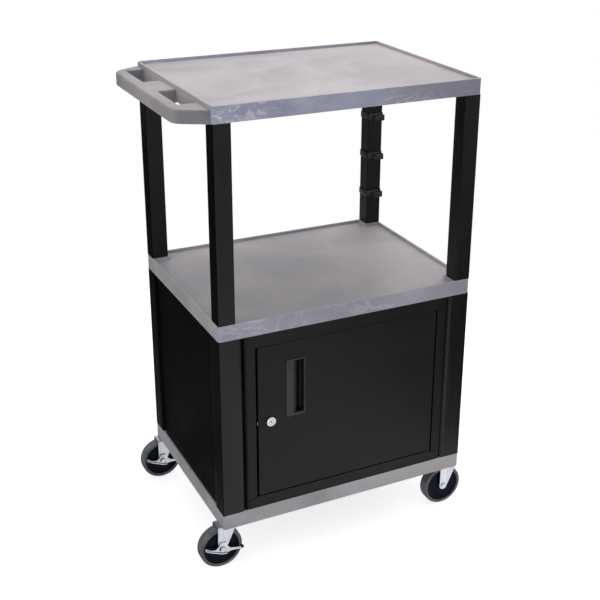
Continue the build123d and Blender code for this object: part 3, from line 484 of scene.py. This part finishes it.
def makePlatedSteel(name, look, rolled=rolledSheet, shadeFrom=None):
    material, tree, shader, place = startMaterial(name)
    sheen = noise(tree, stretch(tree, place, rolled), 260.0, 3.0, 0.6)
    bloom = mapRange(tree, noise(tree, place, 55.0, 4.0, 0.6), 0.42, 0.72)
    scuffs = useGroup(tree, scuffGroup, place, Scratch_Scale=150.0, Patch_Scale=30.0, Thinness=0.015)
    base = mixColour(tree, mapRange(tree, sheen, 0.35, 0.65), look["dull"], look["bright"])
    base = mixColour(tree, calc(tree, "MULTIPLY", bloom, 0.18), base, look["stain"])
    base = mixColour(tree, calc(tree, "MULTIPLY", scuffs["Scratch"], 0.3), base, look["stain"])
    # painted shade: near black deeper than the key slot's mouth
    if shadeFrom is not None:
        paintedDepthShade = depthMask(tree, place, shadeFrom, shadeFrom + keyholeShade["fade"])
        base = mixColour(tree, paintedDepthShade, base, keyholeShade["colour"])
    feed(tree, shader.inputs["Base Color"], base)
    shader.inputs["Metallic"].default_value = 1.0
    rough = mapRange(tree, sheen, 0.3, 0.7, look["roughness"] - 0.04, look["roughness"] + 0.05)
    rough = calc(tree, "MULTIPLY_ADD", bloom, 0.1, rough)
    feed(tree, shader.inputs["Roughness"], rough)
    grain = useGroup(tree, grainGroup, place, Cell_Scale=1400.0, Wave_Scale=200.0, Wave_Amount=1.0)
    addBump(tree, shader, grain["Height"], 0.06, 0.0002)
    return material


rubberLook = {
    "deep": (0.110, 0.112, 0.120, 1.0),
    "pale": (0.160, 0.163, 0.174, 1.0),
    "soiled": (0.070, 0.069, 0.068, 1.0),
    "roughness": 0.6,
}


def makeRubber(name, look, soil=0.35):
    material, tree, shader, place = startMaterial(name)
    blotch = noise(tree, place, 60.0, 4.0, 0.6)
    grime = mapRange(tree, noise(tree, place, 130.0, 5.0, 0.7), 0.5, 0.8)
    base = mixColour(tree, mapRange(tree, blotch, 0.35, 0.65), look["deep"], look["pale"])
    base = mixColour(tree, calc(tree, "MULTIPLY", grime, soil), base, look["soiled"])
    feed(tree, shader.inputs["Base Color"], base)
    rough = mapRange(tree, blotch, 0.3, 0.7, look["roughness"] - 0.05, look["roughness"] + 0.1)
    feed(tree, shader.inputs["Roughness"], rough)
    shader.inputs["Specular IOR Level"].default_value = 0.3
    grain = useGroup(tree, grainGroup, place, Cell_Scale=1200.0, Wave_Scale=90.0, Wave_Amount=1.0)
    addBump(tree, shader, grain["Height"], 0.2, 0.0003)
    return material


coreLook = {
    "deep": (0.0030, 0.0050, 0.0095, 1.0),
    "pale": (0.0046, 0.0072, 0.0130, 1.0),
    "worn": (0.035, 0.037, 0.042, 1.0),
    "dust": (0.06, 0.062, 0.068, 1.0),
    "roughness": 0.24,
    "specular": 0.05,
}
pullLook = {
    "deep": (0.022, 0.0235, 0.028, 1.0),
    "pale": (0.032, 0.034, 0.040, 1.0),
    "worn": (0.06, 0.062, 0.068, 1.0),
    "dust": (0.07, 0.07, 0.072, 1.0),
    "roughness": 0.40,
    "specular": 0.35,
}
clipLook = {
    "deep": (0.016, 0.016, 0.017, 1.0),
    "pale": (0.026, 0.026, 0.027, 1.0),
    "worn": (0.08, 0.08, 0.082, 1.0),
    "dust": (0.09, 0.09, 0.092, 1.0),
    "roughness": 0.36,
    "specular": 0.45,
}
chromeLook = {
    "bright": (0.68, 0.68, 0.69, 1.0),
    "dull": (0.48, 0.48, 0.49, 1.0),
    "stain": (0.22, 0.22, 0.22, 1.0),
    "roughness": 0.18,
}
tipLook = {
    "deep": (0.012, 0.012, 0.012, 1.0),
    "pale": (0.025, 0.025, 0.025, 1.0),
    "soiled": (0.05, 0.048, 0.045, 1.0),
    "roughness": 0.6,
}

pocketStart = 0.0042  # behind the front of the pull's plate, where the painted shade in its pocket begins
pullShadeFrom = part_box("door_pull")[0].y + pocketStart
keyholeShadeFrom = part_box("lock_plug")[0].y + keyholeShade["start"]
slotMaterials = {
    "leg_plastic": makeBlackPlastic("satinBlackTube", blackPlasticLook),
    "black_sheet": makePowderCoat("blackPowderCoat", powderCoatLook),
    "black_screws": makePowderCoat("blackScrewHead", powderCoatLook),
    "pull_plastic": makeBlackPlastic("blackMouldedPull", pullLook, evenGrain, 900.0, 0.12, pullShadeFrom),
    "clip_plastic": makeBlackPlastic("blackMouldedClip", clipLook, evenGrain, 900.0, 0.12),
    "lock_chrome": makePlatedSteel("lockChrome", chromeLook, evenGrain),
    "zinc_steel": makePlatedSteel("brightZinc", zincLook),
    "core_plastic": makeBlackPlastic("blackWheelCore", coreLook, evenGrain, 800.0, 0.15),
    "tyre_rubber": makeRubber("greyTyreRubber", rubberLook),
    "brake_rubber": makeRubber("blackBrakeRubber", tipLook, 0.2),
}
ownMaterials = {"lock_plug": makePlatedSteel("chromeKeyPlug", chromeLook, evenGrain, keyholeShadeFrom)}
for name in paintedFrontSheen:
    ownMaterials[name] = makeShelfMaterial("cloudyGrey_" + name, name, shelfLook)
nodeMaterials = {}
for name, slotName in slotOfNode.items():
    nodeMaterials[name] = ownMaterials[name] if name in ownMaterials else slotMaterials[slotName]
    for slot in nodes[name].material_slots:
        slot.material = nodeMaterials[name]
print("materials assigned")


# Helpers for the pieces that stand for CAD nodes.
def linkPiece(name, mesh):
    piece = bpy.data.objects.new(name, mesh)
    bpy.context.scene.collection.objects.link(piece)
    return piece


def settle(piece, angle=38.0):  # turns live modifiers into one plain, smooth mesh
    bpy.context.view_layer.update()
    graph = bpy.context.evaluated_depsgraph_get()
    final = piece.evaluated_get(graph)
    mesh = bpy.data.meshes.new_from_object(final, preserve_all_data_layers=True, depsgraph=graph)
    piece.modifiers.clear()
    piece.data = mesh
    mesh.polygons.foreach_set("use_smooth", [True] * len(mesh.polygons))
    mesh.set_sharp_from_angle(angle=math.radians(angle))


def standFor(piece, *names):  # rides with the nodes' body and takes their place and finish
    if not piece.data.materials:
        piece.data.materials.append(nodeMaterials[names[0]])
    for index in range(len(piece.data.materials)):
        piece.data.materials[index] = nodeMaterials[names[0]]
    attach(piece, bodyOfNode[names[0]])
    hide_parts(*names)


def copyNode(name, keep=None):  # the node's mesh with its loose triangles joined
    shape = bmesh.new()
    shape.from_mesh(nodes[name].data)
    bmesh.ops.remove_doubles(shape, verts=shape.verts, dist=2e-6)
    if keep:
        spare = [vert for vert in shape.verts if not keep(vert.co)]
        bmesh.ops.delete(shape, geom=spare, context="VERTS")
    bmesh.ops.dissolve_limit(shape, angle_limit=math.radians(0.6), verts=shape.verts, edges=shape.edges)
    mesh = bpy.data.meshes.new(name + "Soft")
    shape.to_mesh(mesh)
    shape.free()
    mesh.materials.append(nodeMaterials[name])
    return mesh


def addBevel(piece, width, segments, angle=30.0):
    bevel = piece.modifiers.new("softEdges", "BEVEL")
    bevel.width = width
    bevel.segments = segments
    bevel.limit_method = "ANGLE"
    bevel.angle_limit = math.radians(angle)
    bevel.use_clamp_overlap = True
    bevel.harden_normals = False
    return bevel


# Geometry Nodes: one tree sweeps a section round a wheel, another repeats a piece along a row or grid.
def newGeometryTree(name, inputs):
    tree = bpy.data.node_groups.new(name, "GeometryNodeTree")
    tree.interface.new_socket(name="Geometry", in_out="INPUT", socket_type="NodeSocketGeometry")
    for label, kind, value in inputs:
        socket = tree.interface.new_socket(name=label, in_out="INPUT", socket_type=kind)
        if value is not None:
            socket.default_value = value
    tree.interface.new_socket(name="Geometry", in_out="OUTPUT", socket_type="NodeSocketGeometry")
    return tree, addNode(tree, "NodeGroupInput"), addNode(tree, "NodeGroupOutput")


def endTree(tree, start, end, geometry):
    realize = addNode(tree, "GeometryNodeRealizeInstances")
    feed(tree, realize.inputs["Geometry"], geometry)
    paint = addNode(tree, "GeometryNodeSetMaterial")
    feed(tree, paint.inputs["Geometry"], realize.outputs[0])
    feed(tree, paint.inputs["Material"], start.outputs["Material"])
    feed(tree, end.inputs["Geometry"], paint.outputs[0])


def buildSweepTree():
    tree, start, end = newGeometryTree("wheelSweep", [
        ("Path Radius", "NodeSocketFloat", 0.045), ("Steps", "NodeSocketInt", 96),
        ("Place", "NodeSocketVector", None), ("Material", "NodeSocketMaterial", None)])
    circle = addNode(tree, "GeometryNodeCurvePrimitiveCircle")
    feed(tree, circle.inputs["Resolution"], start.outputs["Steps"])
    feed(tree, circle.inputs["Radius"], start.outputs["Path Radius"])
    section = addNode(tree, "GeometryNodeMeshToCurve")
    feed(tree, section.inputs["Mesh"], start.outputs["Geometry"])
    sweep = addNode(tree, "GeometryNodeCurveToMesh")
    feed(tree, sweep.inputs["Curve"], circle.outputs["Curve"])
    feed(tree, sweep.inputs["Profile Curve"], section.outputs["Curve"])
    stand = addNode(tree, "GeometryNodeTransform")
    feed(tree, stand.inputs["Geometry"], sweep.outputs["Mesh"])
    feed(tree, stand.inputs["Translation"], start.outputs["Place"])
    stand.inputs["Rotation"].default_value = (math.radians(90), 0.0, 0.0)
    endTree(tree, start, end, stand.outputs["Geometry"])
    return tree


def buildGridTree():
    tree, start, end = newGeometryTree("repeatedGrid", [
        ("Columns", "NodeSocketInt", 1), ("Rows", "NodeSocketInt", 3),
        ("Column Step", "NodeSocketVector", None), ("Row Step", "NodeSocketVector", None),
        ("Material", "NodeSocketMaterial", None)])
    held = start.outputs["Geometry"]
    for count, step in (("Columns", "Column Step"), ("Rows", "Row Step")):
        line = addNode(tree, "GeometryNodeMeshLine")
        feed(tree, line.inputs["Count"], start.outputs[count])
        feed(tree, line.inputs["Offset"], start.outputs[step])
        spread = addNode(tree, "GeometryNodeInstanceOnPoints")
        feed(tree, spread.inputs["Points"], line.outputs["Mesh"])
        feed(tree, spread.inputs["Instance"], held)
        held = spread.outputs["Instances"]
    endTree(tree, start, end, held)
    return tree


def runTree(piece, tree, **values):
    modifier = piece.modifiers.new(tree.name, "NODES")
    modifier.node_group = tree
    inputs = [item for item in tree.interface.items_tree if item.in_out == "INPUT"]
    sockets = {item.name: item.identifier for item in inputs}
    for name, value in values.items():
        modifier[sockets[name.replace("_", " ")]] = value


sweepTree = buildSweepTree()
gridTree = buildGridTree()
print("geometry trees built")


def roundedSection(points, steps=5):  # points are (out, along, radius), anticlockwise, as a closed loop
    loop = []
    count = len(points)
    for index, (x, y, radius) in enumerate(points):
        here = Vector((x, y))
        before = Vector(points[index - 1][:2]) - here
        after = Vector(points[(index + 1) % count][:2]) - here
        if radius <= 0.0:
            loop.append(here)
            continue
        half = before.angle(after) / 2
        back = min(radius / math.tan(half), before.length * 0.49, after.length * 0.49)
        first = here + before.normalized() * back
        last = here + after.normalized() * back
        for step in range(steps + 1):
            t = step / steps
            loop.append(first * (1 - t) ** 2 + here * (2 * t * (1 - t)) + last * t ** 2)
    return loop


def sectionMesh(name, loop):
    mesh = bpy.data.meshes.new(name)
    edges = [(index, (index + 1) % len(loop)) for index in range(len(loop))]
    mesh.from_pydata([(point.x, point.y, 0.0) for point in loop], edges, [])
    return mesh


wheelSmooth = 60.0
tyreShape = {
    "shoulder": 0.0048,
    "innerRound": 0.0006,
    "seamProud": 0.00018,
    "seamHalf": 0.0007,
    "steps": 112,
}
coreShape = {
    "rimWall": 0.0034,
    "rimHalf": 0.0110,
    "rimRound": 0.0012,
    "outerRound": 0.0004,
    "webHalf": 0.0088,
    "dishRound": 0.0022,
    "dishRun": 0.0030,
    "hubRadius": 0.0105,
    "hubRound": 0.0012,
    "bore": 0.00605,
    "boreRound": 0.0003,
    "pathRadius": 0.022,
    "steps": 112,
}


def sweepWheel(name, piece, radius, steps):  # turns a section about the wheel's middle
    low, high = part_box(name)
    runTree(piece, sweepTree, Path_Radius=radius, Steps=steps, Place=(low + high) / 2,
            Material=nodeMaterials[name])
    settle(piece, wheelSmooth)
    standFor(piece, name)


def makeTyre(corner):
    name = f"caster_{corner}_tyre"
    low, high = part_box(name)
    outer = (high.z - low.z) / 2
    half = (high.y - low.y) / 2
    coreLow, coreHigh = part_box(f"caster_{corner}_core")
    inner = (coreHigh.z - coreLow.z) / 2
    look = tyreShape
    middle = (outer + inner) / 2
    tread = outer - look["seamProud"] - middle
    seam = look["seamHalf"]
    loop = roundedSection([
        (inner - middle, -half, look["innerRound"]),
        (tread, -half, look["shoulder"]),
        (tread, -seam, 0.0),
        (tread + look["seamProud"], 0.0, 0.0),
        (tread, seam, 0.0),
        (tread, half, look["shoulder"]),
        (inner - middle, half, look["innerRound"]),
    ])
    piece = linkPiece(f"rubberTyre_{corner}", sectionMesh(f"tyreSection_{corner}", loop))
    sweepWheel(name, piece, middle, look["steps"])


def makeCore(corner):
    name = f"caster_{corner}_core"
    low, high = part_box(name)
    outer = (high.z - low.z) / 2
    hub = (high.y - low.y) / 2
    look = coreShape
    middle = look["pathRadius"]
    lip = outer - look["rimWall"]
    web = look["webHalf"]
    half = [
        (look["bore"], hub, look["boreRound"]),
        (look["hubRadius"], hub, look["hubRound"]),
        (look["hubRadius"] + look["dishRun"], web, look["dishRound"]),
        (lip - look["dishRun"], web, look["dishRound"]),
        (lip, look["rimHalf"], look["rimRound"]),
        (outer, look["rimHalf"], look["outerRound"]),
    ]
    points = [(out - middle, -along, radius) for out, along, radius in half]
    points += [(out - middle, along, radius) for out, along, radius in reversed(half)]
    loop = roundedSection(points)
    piece = linkPiece(f"wheelCore_{corner}", sectionMesh(f"coreSection_{corner}", loop))
    sweepWheel(name, piece, middle, look["steps"])


for corner in cornerNames:
    makeTyre(corner)
    makeCore(corner)
print("wheels made")

# Stamped, moulded and turned pieces get the small rounds that the real ones have.
softEdges = {
    "forkWidth": 0.0006,
    "leverWidth": 0.0006,
    "axleWidth": 0.0006,
    "tipWidth": 0.0010,
    "pullWidth": 0.0012,
    "lockWidth": 0.0003,
}
lockPieces = {
    "lock_plug": "keyPlug",
    "lock_nut": "lockRetainingNut",
    "lock_cam": "lockCamPlate",
    "lock_cam_nut": "camNut",
}


def softenNode(name, label, width, segments=3, angle=30.0):
    piece = linkPiece(label, copyNode(name))
    addBevel(piece, width, segments, angle)
    settle(piece)
    standFor(piece, name)


for corner in cornerNames:
    softenNode(f"caster_{corner}_fork", f"zincFork_{corner}", softEdges["forkWidth"])
    softenNode(f"caster_{corner}_axle", f"hexBolt_{corner}", softEdges["axleWidth"], 2)
for corner in brakedCorners:
    softenNode(f"brake_{corner}_lever", f"brakeWing_{corner}", softEdges["leverWidth"])
    softenNode(f"brake_{corner}_tip", f"brakeShoe_{corner}", softEdges["tipWidth"])
softenNode("door_pull", "recessedPull", softEdges["pullWidth"], 4)
for name, label in lockPieces.items():
    softenNode(name, label, softEdges["lockWidth"], 2)
print("small parts softened")

clipRow = {"count": 3, "edge": 0.0007, "segments": 3, "cutSlack": 0.001}


def makeClips():  # the top clip of the CAD row is kept and repeated downwards
    low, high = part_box("cord_clips")
    heights = sorted({round(vert.co.z, 5) for vert in nodes["cord_clips"].data.vertices})
    gaps = [(upper - lower, lower, upper) for lower, upper in zip(heights, heights[1:])]
    between = sorted(gaps)[1 - clipRow["count"]:]
    cut = max(lower for _, lower, _ in between) + clipRow["cutSlack"]
    clipHeight = high.z - max(upper for _, _, upper in between)
    pitch = (high.z - low.z - clipHeight) / (clipRow["count"] - 1)
    piece = linkPiece("cordClipRow", copyNode("cord_clips", lambda place: place.z > cut))
    addBevel(piece, clipRow["edge"], clipRow["segments"])
    settle(piece)
    runTree(piece, gridTree, Columns=1, Rows=clipRow["count"], Row_Step=(0.0, 0.0, -pitch),
            Material=nodeMaterials["cord_clips"])
    settle(piece)
    standFor(piece, "cord_clips")


makeClips()

panelScrew = {
    "headRadius": 0.004,
    "domeRises": (0.0, 0.35, 0.7, 0.93, 1.0),
    "domeWidths": (1.0, 1.0, 0.93, 0.75, 0.58),
    "recessRadius": 0.0021,
    "recessArm": 0.00045,
    "recessDepth": 0.0012,
    "recessTaper": 0.6,
    "sides": 24,
    "columns": 2,
    "rows": 4,
}


def joinRings(shape, first, second):
    for step in range(len(first)):
        follow = (step + 1) % len(first)
        shape.faces.new((first[step], second[step], second[follow], first[follow]))


def panHead(look, head):  # a domed head with a cross recess, seen along +Y
    shape = bmesh.new()
    turns = [2 * math.pi * step / look["sides"] for step in range(look["sides"])]
    rings = []
    for width, rise in zip(look["domeWidths"], look["domeRises"]):
        radius = look["headRadius"] * width
        spots = [(radius * math.cos(turn), head * rise, radius * math.sin(turn)) for turn in turns]
        rings.append([shape.verts.new(spot) for spot in spots])
    for lower, upper in zip(rings, rings[1:]):
        joinRings(shape, lower, upper)
    shape.faces.new(rings[0])
    arm, reach, taper = look["recessArm"], look["recessRadius"], look["recessTaper"]
    cross = [(arm, arm), (arm, reach), (-arm, reach), (-arm, arm), (-reach, arm), (-reach, -arm),
             (-arm, -arm), (-arm, -reach), (arm, -reach), (arm, -arm), (reach, -arm), (reach, arm)]
    depth = head - look["recessDepth"]
    mouth = [shape.verts.new((x, head, z)) for x, z in cross]
    bottom = [shape.verts.new((x * taper, depth, z * taper)) for x, z in cross]
    joinRings(shape, bottom, mouth)
    shape.faces.new(bottom)
    edges = [edge for edge in shape.edges if edge.is_boundary]
    bmesh.ops.triangle_fill(shape, edges=edges, use_beauty=True)
    bmesh.ops.recalc_face_normals(shape, faces=shape.faces)
    mesh = bpy.data.meshes.new("panHeadScrew")
    shape.to_mesh(mesh)
    shape.free()
    return mesh


def makeScrews():
    name = "back_panel_screws"
    look = panelScrew
    low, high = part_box(name)
    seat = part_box("cabinet_back_panel")[1].y
    radius = look["headRadius"]
    mesh = panHead(look, high.y - seat)
    mesh.transform(Matrix.Translation((low.x + radius, seat, low.z + radius)))
    mesh.materials.append(nodeMaterials[name])
    piece = linkPiece("backPanelScrews", mesh)
    across = (high.x - low.x - 2 * radius) / (look["columns"] - 1)
    rise = (high.z - low.z - 2 * radius) / (look["rows"] - 1)
    runTree(piece, gridTree, Columns=look["columns"], Rows=look["rows"],
            Column_Step=(across, 0.0, 0.0), Row_Step=(0.0, 0.0, rise), Material=nodeMaterials[name])
    settle(piece)
    standFor(piece, name)


makeScrews()
print("clips and screws repeated")

studio = {
    "cameraPlace": (-1.0072, -2.1408, 1.5644),
    "azimuth": -26.88,
    "elevation": 22.12,
    "roll": 0.637,
    "lens": 66.24,
    "sensor": 36.0,
    "shift": (-0.0430, -0.0565),
    "floorSize": 8.0,
    "floorColour": (0.55, 0.55, 0.55, 1.0),
    "floorLift": 0.74,
    "worldColour": (0.98, 0.98, 1.0, 1.0),
    "worldLevel": 0.77,
    "whiteFrom": 0.9,
    "whiteTo": 1.7,
}


def placeCamera():
    data = bpy.data.cameras.new("photoCamera")
    camera = bpy.data.objects.new("photoCamera", data)
    bpy.context.scene.collection.objects.link(camera)
    data.lens = studio["lens"]
    data.sensor_width = studio["sensor"]
    data.shift_x, data.shift_y = studio["shift"]
    azimuth = math.radians(studio["azimuth"])
    elevation = math.radians(studio["elevation"])
    level = math.cos(elevation)
    backward = Vector((math.sin(azimuth) * level, -math.cos(azimuth) * level, math.sin(elevation)))
    rightward = Vector((math.cos(azimuth), math.sin(azimuth), 0.0))
    upward = backward.cross(rightward)
    turn = Matrix((rightward, upward, backward)).transposed()
    turn = Matrix.Rotation(math.radians(studio["roll"]), 3, backward) @ turn
    camera.matrix_world = Matrix.Translation(studio["cameraPlace"]) @ turn.to_4x4()
    bpy.context.scene.camera = camera


placeCamera()

panelLights = {
    "overheadPanel": {"place": (0.55, 0.5, 2.6), "target": (0.05, 0.05, 0.6), "size": (1.6, 1.4),
                      "power": 18.5, "colour": (1.0, 0.92, 0.91), "glossy": True},
    "frontPanel": {"place": (0.8, -3.2, 1.6), "target": (0.0, 0.0, 0.5), "size": (1.6, 1.6),
                   "power": 5.0, "colour": (0.93, 0.95, 1.0), "glossy": True},
    "leftPanel": {"place": (-3.0, -0.6, 1.4), "target": (0.0, 0.0, 0.5), "size": (1.4, 1.6),
                  "power": 12.5, "colour": (1.0, 0.98, 0.96), "glossy": False},
    "backPanel": {"place": (1.9, 1.5, 1.3), "target": (0.2, 0.0, 0.58), "size": (0.9, 0.9),
                  "power": 12.0, "colour": (1.0, 0.98, 0.97), "glossy": False},
}


def addPanelLight(name, panel):
    data = bpy.data.lights.new(name, "AREA")
    data.shape = "RECTANGLE"
    data.size, data.size_y = panel["size"]
    data.energy = panel["power"]
    data.color = panel["colour"]
    light = bpy.data.objects.new(name, data)
    bpy.context.scene.collection.objects.link(light)
    light.location = panel["place"]
    aim = Vector(panel["target"]) - Vector(panel["place"])
    light.rotation_euler = aim.to_track_quat("-Z", "Y").to_euler()
    light.visible_glossy = panel["glossy"]


for name, panel in panelLights.items():
    addPanelLight(name, panel)


def mixShaders(tree, factor, first, second):
    node = addNode(tree, "ShaderNodeMixShader")
    for socket, value in zip(node.inputs, (factor, first, second)):
        feed(tree, socket, value)
    return node.outputs[0]


def makeWorld():  # white to the camera, a plain pale grey to every other ray
    world = bpy.data.worlds.new("paleStudio")
    bpy.context.scene.world = world
    world.use_nodes = True
    tree = world.node_tree
    tree.nodes.clear()
    plain = addNode(tree, "ShaderNodeBackground")
    feedAll(tree, plain, Color=studio["worldColour"], Strength=studio["worldLevel"])
    white = addNode(tree, "ShaderNodeBackground")
    feedAll(tree, white, Color=(1.0, 1.0, 1.0, 1.0), Strength=1.0)
    camera = addNode(tree, "ShaderNodeLightPath").outputs["Is Camera Ray"]
    shown = mixShaders(tree, camera, plain.outputs[0], white.outputs[0])
    feed(tree, addNode(tree, "ShaderNodeOutputWorld").inputs["Surface"], shown)


def makeFloorMaterial():  # takes the cart's shadow and fades to the background's white
    material, tree, shader, place = startMaterial("paleFloor")
    shader.inputs["Roughness"].default_value = 0.9
    shader.inputs["Specular IOR Level"].default_value = 0.0
    mottle = mapRange(tree, noise(tree, place, 1.5, 3.0, 0.5), 0.3, 0.7, 0.98, 1.0)
    colour = mixColour(tree, 1.0, studio["floorColour"], mottle, "MULTIPLY")
    feed(tree, shader.inputs["Base Color"], colour)
    lift = addNode(tree, "ShaderNodeEmission")
    lift.inputs["Strength"].default_value = studio["floorLift"]
    both = addNode(tree, "ShaderNodeAddShader")
    feed(tree, both.inputs[0], shader.outputs[0])
    feed(tree, both.inputs[1], lift.outputs[0])
    distance = addNode(tree, "ShaderNodeVectorMath", operation="LENGTH")
    feed(tree, distance.inputs[0], place)
    far = mapRange(tree, distance.outputs["Value"], studio["whiteFrom"], studio["whiteTo"])
    paper = addNode(tree, "ShaderNodeEmission")
    faded = mixShaders(tree, far, both.outputs[0], paper.outputs[0])
    rays = addNode(tree, "ShaderNodeLightPath").outputs
    seen = calc(tree, "MAXIMUM", rays["Is Camera Ray"], rays["Is Glossy Ray"])
    shown = mixShaders(tree, seen, shader.outputs[0], faded)
    feed(tree, tree.nodes["Material Output"].inputs["Surface"], shown)
    return material


def layFloor():
    mesh = bpy.data.meshes.new("studioFloor")
    shape = bmesh.new()
    bmesh.ops.create_grid(shape, x_segments=1, y_segments=1, size=studio["floorSize"])
    shape.to_mesh(mesh)
    shape.free()
    mesh.materials.append(makeFloorMaterial())
    floor = linkPiece("studioFloor", mesh)


makeWorld()
layFloor()

# Dark cloths on the floor and a black flag at the handle end are seen in reflections only,
# as in a photographer's set.
clothLift = 0.001
clothPatches = {
    "behindLeft": {"low": (-4.0, -0.95), "high": (-0.284, 4.5), "soft": 0.05, "level": 0.955},
    "frontRight": {"low": (0.38, -4.0), "high": (4.5, -0.25), "soft": 0.16, "level": 0.88},
}
blackFlag = {"x": -1.0, "front": -1.7, "back": 3.4, "bottom": 0.002, "top": 3.2}


def startDark(name):
    material = bpy.data.materials.new(name)
    material.use_nodes = True
    tree = material.node_tree
    tree.nodes.clear()
    return material, tree, addNode(tree, "ShaderNodeTexCoord").outputs["Object"]


def makeClothMaterial(name, patch):
    material, tree, place = startDark(name)
    soft = patch["soft"]
    mask = patch["level"]
    for axis, first, last in zip(splitAxes(tree, place), patch["low"], patch["high"]):
        mask = calc(tree, "MULTIPLY", mask, mapRange(tree, axis, first, first + soft))
        mask = calc(tree, "MULTIPLY", mask, mapRange(tree, axis, last - soft, last, 1.0, 0.0))
    clear = addNode(tree, "ShaderNodeBsdfTransparent")
    dark = addNode(tree, "ShaderNodeEmission")
    dark.inputs["Strength"].default_value = 0.0
    shown = mixShaders(tree, mask, clear.outputs[0], dark.outputs[0])
    feed(tree, addNode(tree, "ShaderNodeOutputMaterial").inputs["Surface"], shown)
    return material


def makeFlagMaterial(name):
    material, tree, place = startDark(name)
    weave = noise(tree, place, 300.0, 2.0, 0.5)
    dark = addNode(tree, "ShaderNodeEmission")
    feed(tree, dark.inputs["Strength"], mapRange(tree, weave, 0.3, 0.7, 0.0, 0.01))
    feed(tree, addNode(tree, "ShaderNodeOutputMaterial").inputs["Surface"], dark.outputs[0])
    return material


def addReflectedCard(name, corners, material):
    mesh = bpy.data.meshes.new(name)
    mesh.from_pydata(corners, [], [(0, 1, 2, 3)])
    mesh.materials.append(material)
    card = linkPiece(name, mesh)
    card.visible_camera = False
    card.visible_diffuse = False
    card.visible_transmission = False
    card.visible_volume_scatter = False
    card.visible_shadow = False


def layCloth(name, patch):
    (left, front), (right, back) = patch["low"], patch["high"]
    spots = [(left, front), (right, front), (right, back), (left, back)]
    addReflectedCard(name, [(x, y, clothLift) for x, y in spots], makeClothMaterial(name, patch))


def standFlag():
    x, front, back, bottom, top = blackFlag.values()
    corners = [(x, front, bottom), (x, back, bottom), (x, back, top), (x, front, top)]
    addReflectedCard("blackFlag", corners, makeFlagMaterial("blackFlag"))


for name, patch in clothPatches.items():
    layCloth(name + "Cloth", patch)
standFlag()

bpy.context.scene.view_settings.view_transform = "Standard"
print("studio ready")
